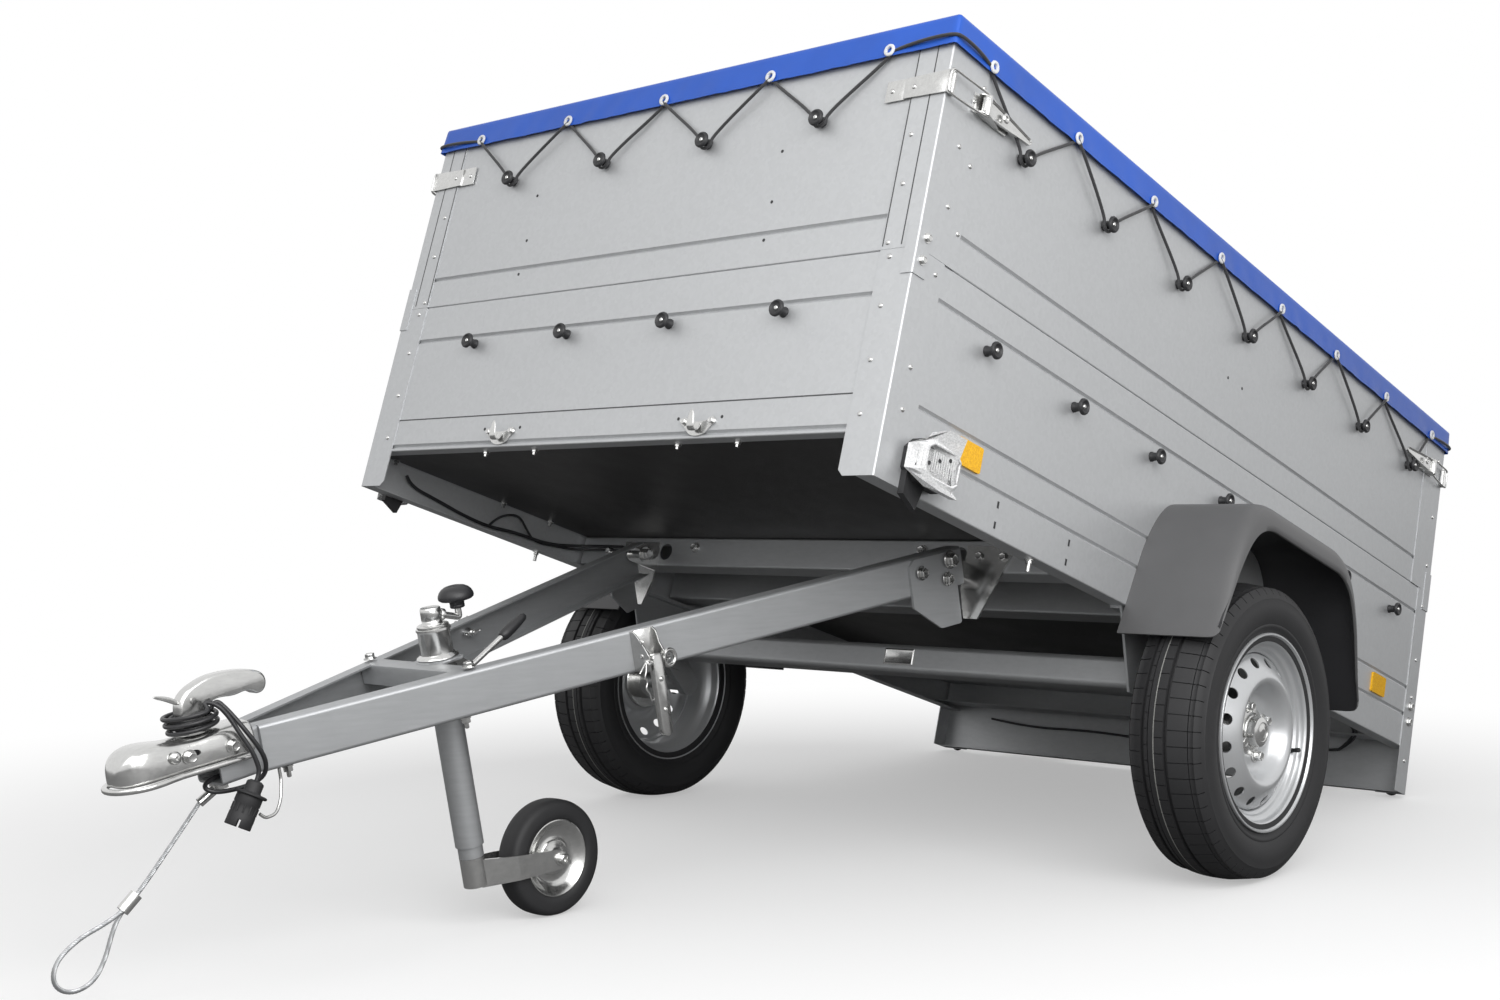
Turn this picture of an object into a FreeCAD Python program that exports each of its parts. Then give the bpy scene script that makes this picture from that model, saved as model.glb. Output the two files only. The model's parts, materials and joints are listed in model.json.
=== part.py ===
"""Tilting single-axle utility trailer: box body with raised boards and flat cover,
V drawbar with ball coupling, telescopic jockey wheel and two road wheels.

Three working frames are used, all in millimetres.
The bed frame has u forward from the box's front face, v to the trailer's left and
w up from the lower edge of the side rails.
The drawbar frame has its origin at the tilt pivot, d forward along the bars and h up.
The part's own frame has X forward, Y left and Z up from the floor.
"""
import FreeCAD, Part
import math
import os
from FreeCAD import Placement, Rotation, Vector

# Bed
bed_length = 2095.0
bed_width = 1315.0
sheet = 1.5
post_sheet = 2.0
seam_height = 379.0
seam_gap = 0.5
boards_top = 782.5
floor_height = 72.0
floor_thickness = 9.0
floor_side_gap = 1.0
board_depth = 25.0
board_lip = 10.0
board_bend = 2.5
rail_flange = 35.0
groove_width = 9.0
groove_depth = 4.0
side_groove_shares = (0.200, 0.364, 0.842)
front_groove_shares = (0.215, 0.805)
upper_groove_shares = (0.150,)
rear_setback = 10.0

# Corner posts
post_front = 72.0
post_side = 78.0
rear_post_side = 60.0
upper_post_side = 105.0
rear_post_drop = 104.0
seam_plate_height = 90.0
seam_plate_front = 22.0
seam_plate_side = 32.0
post_toe = 30.0
post_bend = 3.0

# Crossbeams under the floor
crossbeam_u = -610.0
crossbeam_drop = 63.0
crossbeam_depth = 60.0
crossbeam_wall = 2.5
crossbeam_bend = 4.0
rear_crossbeam_u = -905.0
rear_member_inset = 40.0
cable_hole_radius = 18.0
cable_hole_v = 387.0

# Rear board that carries the lamps
lamp_board_drop = 104.0
lamp_board_top = 58.0
lamp_board_fold = 25.0
lamp_length = 205.0
lamp_height = 98.0
lamp_depth = 42.0
lamp_from_side = 185.0
lamp_drop = 22.0
lamp_radius = 14.0
buffer_radius = 15.0
buffer_stem = 4.0
buffer_drop = 93.0

# Tailgate
tailgate_side_gap = 7.0
tailgate_hinge_inset = 6.0
tailgate_hinge_drop = 8.0
tailgate_knuckle_radius = 5.5
tailgate_pin_radius = 3.0
tailgate_knuckle_length = 50.0
tailgate_knuckle_gap = 1.0
tailgate_hinge_share = 0.62
tailgate_leaf = 2.0
tailgate_leaf_height = 45.0
running_gap = 0.3

# Cover
cover_skirt = 54.0
cover_thickness = 2.0
cover_overhang = 5.0
cover_seat = 0.3
cover_corner_radius = 8.0

# Knobs that the cover's cord goes round
knob_radius = 15.0
knob_neck_radius = 8.0
knob_height = 25.0
knob_rim = 5.0
side_knob_first = 228.0
side_knob_pitch = 277.0
side_knob_count = 7
front_knob_pitch = 268.0
front_knob_count = 4
lower_knob_height = 288.0
upper_knob_height = 634.0

# Side lamps and reflectors
marker_u = -112.0
marker_w = 50.0
marker_length = 96.0
marker_height = 62.0
marker_depth = 44.0
marker_corner = 18.0
marker_lens = 14.0
marker_rim = 4.0
marker_arm = 12.0
marker_drop = 26.0
marker_knee = 9.0
reflector_length = 70.0
reflector_height = 44.0
reflector_depth = 5.0
reflector_front = 227.0
reflector_rear = 1875.0
reflector_w = 107.0
reflector_corner = 4.0

# Hooks on the front board that the drawbar's latches catch
front_hook_v = 258.0
front_hook_w = 95.0
front_hook_plate = 46.0
front_hook_plate_height = 26.0
front_hook_reach = 24.0
front_hook_bar = 4.0
front_hook_rise = 16.0

# Corner latches that hold the upper front, upper rear and lower rear boards
latch_width = 38.0
latch_strap = 122.0
latch_strap_thickness = 2.0
latch_base_from = 86.0
latch_base_length = 80.0
latch_base_thickness = 8.0
latch_lever_start = 62.0
latch_lever_length = 170.0
latch_lever_thickness = 5.0
latch_lever_rise = 12.0
latch_fold = 14.0
latch_cheek = 34.0
latch_wire = 2.0
latch_lever_width = 20.0
upper_latch_w = 665.0

# Road wheels: 155/70 R13 tyres on formed steel rims
wheel_radius = 273.5
tyre_width = 155.0
wheel_u = -1027.0
wheel_w = -168.5
wheel_offset = 110.0
rim_flange_radius = 182.5
rim_seat_radius = 166.0
rim_well_radius = 149.0
rim_width = 128.0
rim_seat_inside = 40.0
rim_well_front = 26.0
rim_well_rear = -16.0
rim_wall = 3.0
rim_lip = 6.5
tyre_wall = 8.0
tread_share = 0.80
tyre_side_shares = ((0.75, 0.97), (0.79, 1.0), (0.87, 0.98), (0.93, 0.94), (0.965, 0.90))
tyre_hollow_share = 0.72
tyre_waist_share = 0.80
tyre_tread_wall = 13.0
tread_groove_depth = 6.0
tread_groove_width = 8.0
tread_groove_floor = 4.0
tread_edge_drop = 2.0
tread_groove_shares = (-0.60, -0.20, 0.20, 0.60)
disc_offset = 34.0
disc_hub_radius = 70.0
disc_ridge_radius = 98.0
disc_ridge_height = 34.0
disc_ridge_width = 12.0
disc_root_start = 12.0
disc_root_end = 26.0
disc_knee_radius = 140.0
disc_knee_height = 10.0
disc_vent_height = 21.0
disc_bowl_radius = 80.0
disc_bowl_height = 21.0
disc_bore_radius = 22.0
vent_count = 16
vent_radius = 8.0
vent_length = 7.0
vent_circle_radius = 128.0
bolt_count = 4
bolt_circle_radius = 49.0
bolt_radius = 9.0
bolt_height = 12.0
hub_cap_radius = 30.0
hub_cap_height = 24.0
hub_cap_corner = 8.0
bolt_seat_radius = 11.7
hub_radius = 44.0
hub_flange_radius = 66.0
hub_flange = 9.0
hub_length = 44.0
stub_radius = 17.0

# Rubber torsion axle
axle_u = -932.0
axle_w = -98.0
axle_tube = 60.0
axle_corner = 12.0
axle_plate_inset = 17.5
axle_plate_thickness = 5.0
axle_plate_drop = 146.0
axle_plate_foot_front = 84.0
axle_plate_foot_rear = 48.0
axle_arm_gap = 1.0
axle_arm_thickness = 20.0
axle_arm_radius = 34.0
axle_arm_end_radius = 26.0
axle_arm_side_share = 0.98

# Mudguards
guard_u = -1058.0
guard_bottom = -56.0
guard_shoulder = 136.0
guard_crown = 207.0
guard_top = 234.0
guard_half_bottom = 301.0
guard_half_shoulder = 250.0
guard_half_crown = 205.0
guard_half_top = 160.0
guard_mouth_shoulder = 90.0
guard_mouth_crown = 155.0
guard_mouth_top = 182.0
guard_mouth_half_bottom = 294.0
guard_mouth_half_shoulder = 244.0
guard_mouth_half_crown = 206.0
guard_mouth_half_top = 158.0
guard_cover = 10.5
guard_edge = 36.0
guard_turn = 12.0
guard_edge_share = 0.30
guard_wall = 3.5
guard_radius = 34.0

# Tilt hinge
pivot_u = -533.0
pivot_w = 14.0
drawbar_angle = 28.71
ear_thickness = 5.0
ear_radius = 15.0
ear_gap = 1.5
pivot_bolt_radius = 8.0
pivot_head_radius = 13.0
pivot_head_height = 9.0
bracket_width = 108.0
bracket_top_margin = 12.0
bracket_tip_width = 30.0
bracket_tip_inset = 18.0
bracket_root_w = -21.0
bracket_tip_w = -77.0
bracket_thickness = 4.0

# Drawbar bars
bar_height = 71.9
bar_top = 19.3
bar_flange = 32.0
bar_wall = 3.0
bar_bend = 6.0
bar_half_span = 419.8
bar_taper = 0.3127
bar_start = -30.0
bar_end = 1215.0
nose_length = 71.0
nose_half_width = 34.0
nose_wall = 4.0
bar_mid_gap = 1.5
end_plate_thickness = 5.0
end_plate_front = 86.0
end_plate_drop = 120.0
end_plate_top = 16.0
end_plate_knee = 72.0
end_plate_foot = 34.0
end_plate_rear = -10.0
end_plate_cut = 12.0
end_plate_corner = 5.0
stop_gap = 1.0
cross_plate_length = 150.0
cross_plate_thickness = 4.0

# Jockey wheel
jockey_d = 845.0
jockey_tube_radius = 24.0
jockey_tube_wall = 2.5
jockey_tube_top = 73.5
jockey_tube_bottom = -300.0
jockey_collar_radius = 29.0
jockey_collar_top = 73.5
jockey_slide_radius = 21.0
jockey_slide_wall = 3.0
jockey_slide_inside = 255.0
jockey_crown_height = 50.0
jockey_slide_show = 20.0
jockey_fork_reach = 162.0
jockey_fork_thickness = 5.0
jockey_fork_height = 34.0
jockey_fork_clearance = 5.0
jockey_fork_root = 12.6
jockey_fork_bend = 68.0
jockey_pin_end = 5.0
jockey_wheel_radius = 100.0
jockey_wheel_width = 50.0
jockey_rim_radius = 66.0
jockey_rim_share = 0.8
jockey_hub_share = 0.9
jockey_tread_shares = ((0.90, 1.0), (0.97, 0.85), (1.0, 0.5))
jockey_disc_shares = ((0.32, 0.55), (0.55, 0.45), (0.85, 0.70), (1.0, 0.80))
jockey_hub_radius = 18.0
jockey_axle_radius = 6.0
jockey_spigot_length = 10.0
jockey_spigot_radius = 9.0
crank_cap_radius = 17.0
crank_cap_top = 106.0
crank_rod_radius = 6.5
crank_reach = 56.0
crank_rise = 16.0
crank_arm_h = 92.0
crank_knob_radius = 30.0
crank_knob_height = 24.0
crank_knob_shares = ((0.35, 0.0), (0.35, 0.35), (0.92, 0.45), (1.0, 0.62), (0.78, 0.88), (0.40, 1.0))
clamp_lever_radius = 5.0
clamp_screw_radius = 7.0
clamp_joint_radius = 9.0
clamp_screw_gap = 5.0
clamp_grip_radius = 9.0
clamp_grip_length = 62.0
clamp_lever_reach = 171.0
clamp_lever_rise = 50.0
clamp_root_reach = 60.0
clamp_root_h = -12.0

# Ball coupling
coupling_reach = 180.0
ball_radius = 25.4
ball_socket_depth = 18.0
coupling_lip_h = -18.0
coupling_head_radius = 40.0
coupling_top = 40.0
coupling_roof = 32.0
coupling_rear_gap = 7.0
coupling_half_width = 38.5
coupling_waist = 35.0
coupling_shoulder = 12.0
coupling_dome = 28.0
coupling_wall = 4.0
coupling_socket_wall = 8.0
coupling_lip = 8.0
coupling_lip_thickness = 6.0
coupling_neck_back = 50.0
handle_width = 24.0
handle_post_front = 22.0
handle_post_rear = -16.0
handle_corners = ((21.0, 0.0), (0.0, 20.0), (-34.0, 29.0), (-97.0, 20.0), (-125.0, 4.0), (-125.0, -10.0),
                  (-112.0, -19.0), (-99.0, -9.0), (-72.0, -13.0), (-44.0, -8.0), (-20.0, -14.0))
handle_radii = (12.0, 18.0, 30.0, 25.0, 8.0, 6.0, 5.0, 5.0, 20.0, 20.0, 5.0)
handle_back = 98.0
handle_pivot_h = 78.0
handle_pivot_radius = 6.0

# Latches on the bars, which hold the bed down
bar_latch_d = 604.0
bar_latch_width = 36.0
bar_latch_plate = 3.0
bar_latch_top = 10.0
bar_latch_drop = 58.0
bar_latch_ear = 32.0
bar_latch_arm_width = 24.0
bar_latch_arm_length = 128.0
bar_latch_arm_depth = 12.0
bar_latch_eye_radius = 13.0
bar_latch_eye_wire = 4.0
bar_latch_pin_radius = 3.2

# Lead, plug and holder
lead_radius = 3.5
coil_shift = 2.0
coil_radius = 33.0
coil_thickness = 15.0
coil_height = 30.0
plug_radius = 20.0
plug_length = 70.0
plug_neck_radius = 13.0
plug_neck_length = 18.0
plug_flange_radius = 25.0
plug_flange = 4.0
holder_wire = 2.5

# Safety cable
cable_radius = 3.5
ferrule_radius = 7.5
ferrule_length = 30.0
ferrule_lug = 15.0
loop_sleeve_radius = 9.75
loop_sleeve_share = 0.3

# How far cutting shapes reach past what they cut, and a full turn in degrees
overrun = 20.0
full_turn = 360.0
quarter_turn = 90.0
shortest_edge_share = 0.001

side_face = bed_width / 2 - post_sheet
front_face = -post_sheet
rear_face = -bed_length + post_sheet
floor_bottom = floor_height + sheet
inner_half_width = side_face - board_depth
chassis_half_width = side_face - sheet - groove_depth - floor_side_gap
wheel_v = bed_width / 2 + wheel_offset
axle_plate_v = bed_width / 2 - axle_plate_inset
guard_width = wheel_v + tyre_width / 2 + guard_cover - side_face
nose_end = bar_end + nose_length
ball_d = bar_end + coupling_reach
coupling_rear = bar_end + coupling_rear_gap
coupling_neck_d = ball_d - coupling_neck_back
handle_pivot_d = ball_d - handle_back


def moved(shape, offset):
    copy = shape.copy()
    copy.translate(offset)
    return copy


def mirrored(shape):
    """The shape on the trailer's other side."""
    return shape.mirror(Vector(), Vector(0, 1, 0))


def both_sides(shapes):
    return shapes + [mirrored(shape) for shape in shapes]


def block(low, high):
    size = high - low
    return Part.makeBox(size.x, size.y, size.z, low)


def rod(start, end, radius):
    return Part.makeCylinder(radius, (end - start).Length, start, end - start)


def polygon_face(points):
    return Part.Face(Part.makePolygon(points + [points[0]]))


def rounded_wire(points, radii):
    """Closed wire through 3D points with a tangent arc at each point that has a radius."""
    count = len(points)
    entries = []
    exits = []
    middles = []
    for index, point in enumerate(points):
        before = (points[index - 1] - point).normalize()
        after = (points[(index + 1) % count] - point).normalize()
        radius = radii[index]
        half = before.getAngle(after) / 2
        bisector = before + after
        if radius <= 0:
            entries.append(point)
            exits.append(point)
            middles.append(None)
            continue
        reach = radius / math.tan(half)
        centre = point + bisector.normalize() * (radius / math.sin(half))
        entries.append(point + before * reach)
        exits.append(point + after * reach)
        middles.append(centre - bisector * radius)
    edges = []
    for index in range(count):
        if middles[index]:
            edges.append(Part.Arc(entries[index], middles[index], exits[index]).toShape())
        following = entries[(index + 1) % count]
        if (following - exits[index]).Length > shortest_edge_share * (points[0] - points[1]).Length:
            edges.append(Part.LineSegment(exits[index], following).toShape())
    return Part.Wire(edges)


def sheet_outline(path, thickness):
    """Closed outline of a bent sheet: a path in two coordinates, its wall on the left."""
    steps = []
    for start, end in zip(path, path[1:]):
        run = math.hypot(end[0] - start[0], end[1] - start[1])
        steps.append(((end[0] - start[0]) / run, (end[1] - start[1]) / run))
    inner = []
    for index, point in enumerate(path):
        before = steps[max(index - 1, 0)]
        after = steps[min(index, len(steps) - 1)]
        mitre = thickness / (1 + before[0] * after[0] + before[1] * after[1])
        inner.append((point[0] - mitre * (before[1] + after[1]),
                      point[1] + mitre * (before[0] + after[0])))
    return list(path) + inner[::-1]


def outside_bends(path, thickness, radius):
    """Radii for a sheet outline that round only the outer side of its square bends."""
    outer = [0]
    inner = [0]
    for before, corner, after in zip(path, path[1:], path[2:]):
        came = (corner[0] - before[0], corner[1] - before[1])
        goes = (after[0] - corner[0], after[1] - corner[1])
        turn = came[0] * goes[1] - came[1] * goes[0]
        straight = came[0] * goes[0] + came[1] * goes[1]
        bend = radius if abs(turn) > abs(straight) else 0
        wall_inside = turn * thickness > 0
        outer.append(bend if wall_inside else 0)
        inner.append(0 if wall_inside else bend)
    outer.append(0)
    inner.append(0)
    return outer + inner[::-1]


def outline_face(points, radii):
    """Face of a closed outline, its corners rounded where radii are given."""
    if radii:
        return Part.Face(rounded_wire(points, radii))
    return polygon_face(points)


def along_v(outline, start, end, radii=None):
    """Prism of a side-view outline (u, w) from one v to another."""
    face = outline_face([Vector(u, start, w) for u, w in outline], radii)
    return face.extrude(Vector(0, end - start, 0))


def along_u(outline, start, end, radii=None):
    """Prism of a cross-section (v, w) from one u to another."""
    face = outline_face([Vector(start, v, w) for v, w in outline], radii)
    return face.extrude(Vector(end - start, 0, 0))


def along_w(outline, start, end, radii=None):
    """Prism of a plan outline (u, v) from one w to another."""
    face = outline_face([Vector(u, v, start) for u, v in outline], radii)
    return face.extrude(Vector(0, 0, end - start))


def revolved(profile, centre, axis, across, radii=None):
    """Solid of revolution of (radius, place along the axis) points."""
    points = [centre + across * radius + axis * place for radius, place in profile]
    return outline_face(points, radii).revolve(centre, axis, full_turn)


def board_path(face, bottom, top, grooves, foot):
    """Outer path of a roll-formed board: bottom flange, grooved face, top flange and lip."""
    path = [(face - foot, bottom), (face, bottom)]
    for height in grooves:
        path.append((face, height - groove_width / 2))
        path.append((face - groove_depth, height))
        path.append((face, height + groove_width / 2))
    path += [(face, top), (face - board_depth, top), (face - board_depth, top - board_lip)]
    return path


def lower_grooves(shares):
    return [share * seam_height for share in shares]


def upper_grooves():
    rise = boards_top - seam_height
    return [seam_height + share * rise for share in upper_groove_shares]


def side_board():
    path = board_path(side_face, 0, seam_height, lower_grooves(side_groove_shares), rail_flange)
    bends = outside_bends(path, sheet, board_bend)
    return [along_u(sheet_outline(path, sheet), rear_face + rear_setback, front_face, bends)]


def upper_side_board():
    path = board_path(side_face, seam_height + seam_gap, boards_top, upper_grooves(), board_depth)
    bends = outside_bends(path, sheet, board_bend)
    return [along_u(sheet_outline(path, sheet), rear_face, front_face, bends)]


def end_board(bottom, top, grooves, half_width):
    """Board across the box, with its outer face at the front post's inner face."""
    path = board_path(front_face, bottom, top, grooves, board_depth)
    bends = outside_bends(path, sheet, board_bend)
    return along_v(sheet_outline(path, sheet), -half_width, half_width, bends)


def front_board():
    return [end_board(floor_height, seam_height, lower_grooves(front_groove_shares), inner_half_width)]


def upper_front_board():
    return [end_board(seam_height + seam_gap, boards_top, upper_grooves(), inner_half_width)]


def to_rear(shape):
    """A piece of the front end as the matching piece of the rear end."""
    return shape.mirror(Vector(-bed_length / 2, 0, 0), Vector(1, 0, 0))


def upper_rear_board():
    return [to_rear(shape) for shape in upper_front_board()]


def front_post(bottom, top, side):
    half = bed_width / 2
    path = [(-side, half), (0, half), (0, half - post_front)]
    outline = sheet_outline(path, -post_sheet)
    return along_w(outline, bottom, top, outside_bends(path, -post_sheet, post_bend))


def post_bottom_cut():
    """Slanted cut at the foot of the front post's front flange."""
    half = bed_width / 2
    points = [Vector(overrun, half - post_front - overrun, -overrun),
              Vector(overrun, half - post_front + post_toe, -overrun),
              Vector(overrun, half - post_front - overrun, post_toe)]
    return polygon_face(points).extrude(Vector(-2 * overrun, 0, 0))


def corner_posts_lower():
    front = front_post(0, seam_height, post_side).cut(post_bottom_cut())
    rear = to_rear(front_post(-rear_post_drop, seam_height, rear_post_side))
    return both_sides([front, rear])


def corner_posts_upper():
    top = boards_top - board_lip / 2
    front = front_post(seam_height + seam_gap, top, upper_post_side)
    return both_sides([front, to_rear(front)])


def seam_plates():
    """Angle plates that join the lower and upper front posts."""
    half = bed_width / 2
    path = [(-seam_plate_side, half + post_sheet), (post_sheet, half + post_sheet),
            (post_sheet, half - seam_plate_front)]
    outline = sheet_outline(path, -post_sheet)
    bends = outside_bends(path, -post_sheet, post_bend)
    plate = along_w(outline, seam_height - seam_plate_height / 2, seam_height + seam_plate_height / 2, bends)
    return both_sides([plate, to_rear(plate)])


def floor_panel():
    half = chassis_half_width
    front = front_face - sheet - groove_depth - floor_side_gap
    rear = rear_face + rear_setback + board_depth
    return [block(Vector(rear, -half, floor_bottom), Vector(front, half, floor_bottom + floor_thickness))]


def crossbeam(front):
    """C section across the chassis, open to the rear."""
    bottom = floor_bottom - crossbeam_drop
    path = [(front - crossbeam_depth, bottom), (front, bottom),
            (front, floor_bottom), (front - crossbeam_depth, floor_bottom)]
    half = chassis_half_width
    bends = outside_bends(path, crossbeam_wall, crossbeam_bend)
    return along_v(sheet_outline(path, crossbeam_wall), -half, half, bends)


def crossbeams():
    beam = crossbeam(crossbeam_u)
    hole_w = floor_bottom - crossbeam_drop / 2
    for side in (1, -1):
        centre = Vector(crossbeam_u - overrun, side * cable_hole_v, hole_w)
        beam = beam.cut(Part.makeCylinder(cable_hole_radius, 2 * overrun, centre, Vector(1, 0, 0)))
    return [beam, crossbeam(rear_crossbeam_u), to_rear(crossbeam(-rear_member_inset))]


lamp_board_face = rear_face + rear_setback - sheet


def rear_lamp_board():
    bottom = -lamp_board_drop
    path = [(lamp_board_face + sheet, lamp_board_top), (lamp_board_face + sheet, bottom + sheet),
            (lamp_board_face + lamp_board_fold, bottom + sheet)]
    bends = outside_bends(path, -sheet, board_bend)
    return [along_v(sheet_outline(path, -sheet), -side_face, side_face, bends)]


def tail_lamp():
    half = bed_width / 2 - lamp_from_side
    top = lamp_drop
    corners = [Vector(lamp_board_face, half - lamp_length, top - lamp_height),
               Vector(lamp_board_face, half, top - lamp_height),
               Vector(lamp_board_face, half, top),
               Vector(lamp_board_face, half - lamp_length, top)]
    wire = rounded_wire(corners, [lamp_radius] * len(corners))
    return Part.Face(wire).extrude(Vector(-lamp_depth, 0, 0))


def tail_lamps():
    return both_sides([tail_lamp()])


def buffer_place():
    """Centre of a rear buffer's round end."""
    return Vector(-bed_length - buffer_stem, bed_width / 2 - post_front / 2, -buffer_drop)


def rear_buffers():
    centre = buffer_place()
    stem = rod(centre + Vector(buffer_stem, 0, 0), centre, buffer_radius)
    end = Part.makeSphere(buffer_radius, centre, Vector(-1, 0, 0), 0, quarter_turn, full_turn)
    return both_sides([stem.fuse(end).removeSplitter()])


def tailgate_axis():
    return Vector(-bed_length + tailgate_hinge_inset, 0, floor_height - tailgate_hinge_drop)


def tailgate_half_width():
    return bed_width / 2 - post_front - tailgate_side_gap


def tailgate():
    board = to_rear(end_board(floor_height, seam_height - seam_gap,
                              lower_grooves(front_groove_shares), tailgate_half_width()))
    return [moved(board, Vector(-post_sheet, 0, 0))]


def hinge_place(side):
    return tailgate_axis() + Vector(0, side * tailgate_hinge_share * bed_width / 2, 0)


def knuckle(centre, length, radius):
    outer = Part.makeCylinder(radius, length, centre - Vector(0, length / 2, 0), Vector(0, 1, 0))
    hole = Part.makeCylinder(tailgate_pin_radius + running_gap, length,
                             centre - Vector(0, length / 2, 0), Vector(0, 1, 0))
    return outer.cut(hole)


def tailgate_hinges():
    """Middle knuckle and leaf of each hinge, on the tailgate, with the pin."""
    shapes = []
    for side in (1, -1):
        centre = hinge_place(side)
        half = tailgate_knuckle_length / 2
        body = knuckle(centre, tailgate_knuckle_length, tailgate_knuckle_radius)
        outside = -bed_length
        foot = centre.z + tailgate_pin_radius + running_gap
        leaf = block(Vector(outside - tailgate_leaf, centre.y - half, foot),
                     Vector(outside, centre.y + half, centre.z + tailgate_leaf_height))
        web = block(Vector(outside - tailgate_leaf, centre.y - half, foot),
                    Vector(centre.x, centre.y + half, centre.z + tailgate_knuckle_radius))
        shapes.append(body.fuse(web).fuse(leaf).removeSplitter())
    return shapes


def tailgate_hinge_seats():
    """Outer knuckles of each hinge with their lugs and the pin, on the rear board."""
    shapes = []
    for side in (1, -1):
        centre = hinge_place(side)
        length = tailgate_knuckle_length / 2
        shift = tailgate_knuckle_length / 2 + tailgate_knuckle_gap + length / 2
        pin_half = shift + length / 2
        pin_end = Vector(0, pin_half, 0)
        pin = rod(centre - pin_end, centre + pin_end, tailgate_pin_radius)
        seat = pin
        for end in (1, -1):
            middle = centre + Vector(0, end * shift, 0)
            lug = block(Vector(centre.x, middle.y - length / 2, centre.z - tailgate_knuckle_radius),
                        Vector(lamp_board_face, middle.y + length / 2, centre.z))
            drum = Part.makeCylinder(tailgate_knuckle_radius, length,
                                     middle - Vector(0, length / 2, 0), Vector(0, 1, 0))
            if lug.Volume > 0:
                drum = drum.fuse(lug)
            seat = seat.fuse(drum)
        shapes.append(seat.removeSplitter())
    return shapes


def cover():
    """Flat cover with a skirt all round, open below."""
    half = bed_width / 2 + cover_overhang
    front = cover_overhang
    rear = -bed_length - cover_overhang
    top = boards_top + cover_seat + cover_thickness
    bottom = top - cover_skirt
    shell = rounded_box(rear, front, half, bottom, top, cover_corner_radius)
    wall = cover_thickness
    space = rounded_box(rear + wall, front - wall, half - wall, bottom - overrun, top - wall,
                        cover_corner_radius - wall)
    return [shell.cut(space)]


def rounded_box(rear, front, half, bottom, top, radius):
    corners = [Vector(rear, -half, bottom), Vector(front, -half, bottom),
               Vector(front, half, bottom), Vector(rear, half, bottom)]
    wire = rounded_wire(corners, [radius] * len(corners))
    return Part.Face(wire).extrude(Vector(0, 0, top - bottom))


def knob(base, direction, across):
    profile = [(0, 0), (knob_radius, 0), (knob_neck_radius, knob_rim),
               (knob_neck_radius, knob_height - knob_rim * 2), (knob_radius, knob_height - knob_rim),
               (knob_radius, knob_height), (0, knob_height)]
    return revolved(profile, base, direction, across)


def row_of_front_knobs(height, face):
    shapes = []
    for index in range(front_knob_count):
        v = (index - (front_knob_count - 1) / 2) * front_knob_pitch
        shapes.append(knob(Vector(face, v, height), Vector(1, 0, 0), Vector(0, 0, 1)))
    return shapes


def row_of_side_knobs(height):
    shapes = []
    for index in range(side_knob_count):
        u = -side_knob_first - index * side_knob_pitch
        shapes.append(knob(Vector(u, side_face, height), Vector(0, 1, 0), Vector(0, 0, 1)))
    return shapes


def lashing_knobs():
    shapes = row_of_front_knobs(lower_knob_height, front_face)
    shapes += row_of_front_knobs(upper_knob_height, front_face)
    shapes += both_sides(row_of_side_knobs(lower_knob_height))
    shapes += both_sides(row_of_side_knobs(upper_knob_height))
    shapes += [to_rear(shape) for shape in row_of_front_knobs(upper_knob_height, front_face)]
    return shapes


def tailgate_knobs():
    return [to_rear(shape) for shape in row_of_front_knobs(lower_knob_height, 0)]


def marker_lamps():
    """Octagonal lens blocks of the side lamps."""
    face = bed_width / 2 + marker_depth - marker_lens
    return both_sides([along_v(marker_outline(0), face, face + marker_lens)])


def side_reflectors():
    shapes = []
    for distance in (reflector_front, reflector_rear):
        u = -distance
        corners = [Vector(u - reflector_length / 2, side_face, reflector_w - reflector_height / 2),
                   Vector(u + reflector_length / 2, side_face, reflector_w - reflector_height / 2),
                   Vector(u + reflector_length / 2, side_face, reflector_w + reflector_height / 2),
                   Vector(u - reflector_length / 2, side_face, reflector_w + reflector_height / 2)]
        wire = rounded_wire(corners, [reflector_corner] * len(corners))
        shapes.append(Part.Face(wire).extrude(Vector(0, reflector_depth, 0)))
    return both_sides(shapes)


def marker_outline(grow):
    half_length = marker_length / 2 + grow
    half_height = marker_height / 2 + grow
    cut = marker_corner
    outline = [(-half_length, -half_height + cut), (-half_length + cut, -half_height),
               (half_length - cut, -half_height), (half_length, -half_height + cut),
               (half_length, half_height - cut), (half_length - cut, half_height),
               (-half_length + cut, half_height), (-half_length, half_height - cut)]
    return [(marker_u + u, marker_w + w) for u, w in outline]


def marker_holders():
    """Rubber bodies of the side lamps with an arm that hangs below the rail."""
    face = bed_width / 2
    housing = along_v(marker_outline(marker_rim), face, face + marker_depth - marker_lens)
    arm_outline = [(marker_u - marker_arm, marker_w), (marker_u + marker_length / 2, marker_w),
                   (marker_u + marker_length / 2, -marker_knee), (marker_u + marker_arm, -marker_drop)]
    arm = along_v(arm_outline, face, face + marker_arm)
    return both_sides([housing.fuse(arm).removeSplitter()])


def front_hooks():
    """Catch plates with an upturned tongue for the bar latches."""
    shapes = []
    for side in (1, -1):
        v = side * front_hook_v
        low = front_hook_w - front_hook_plate_height / 2
        high = front_hook_w + front_hook_plate_height / 2
        plate = block(Vector(front_face, v - front_hook_plate / 2, low),
                      Vector(front_face + post_sheet, v + front_hook_plate / 2, high))
        path = [(front_face, front_hook_w), (front_face + front_hook_reach, front_hook_w),
                (front_face + front_hook_reach, front_hook_w + front_hook_rise)]
        tongue = along_v(sheet_outline(path, front_hook_bar), v - front_hook_plate_height / 2,
                         v + front_hook_plate_height / 2)
        shapes.append(plate.fuse(tongue).removeSplitter())
    return shapes


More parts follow.
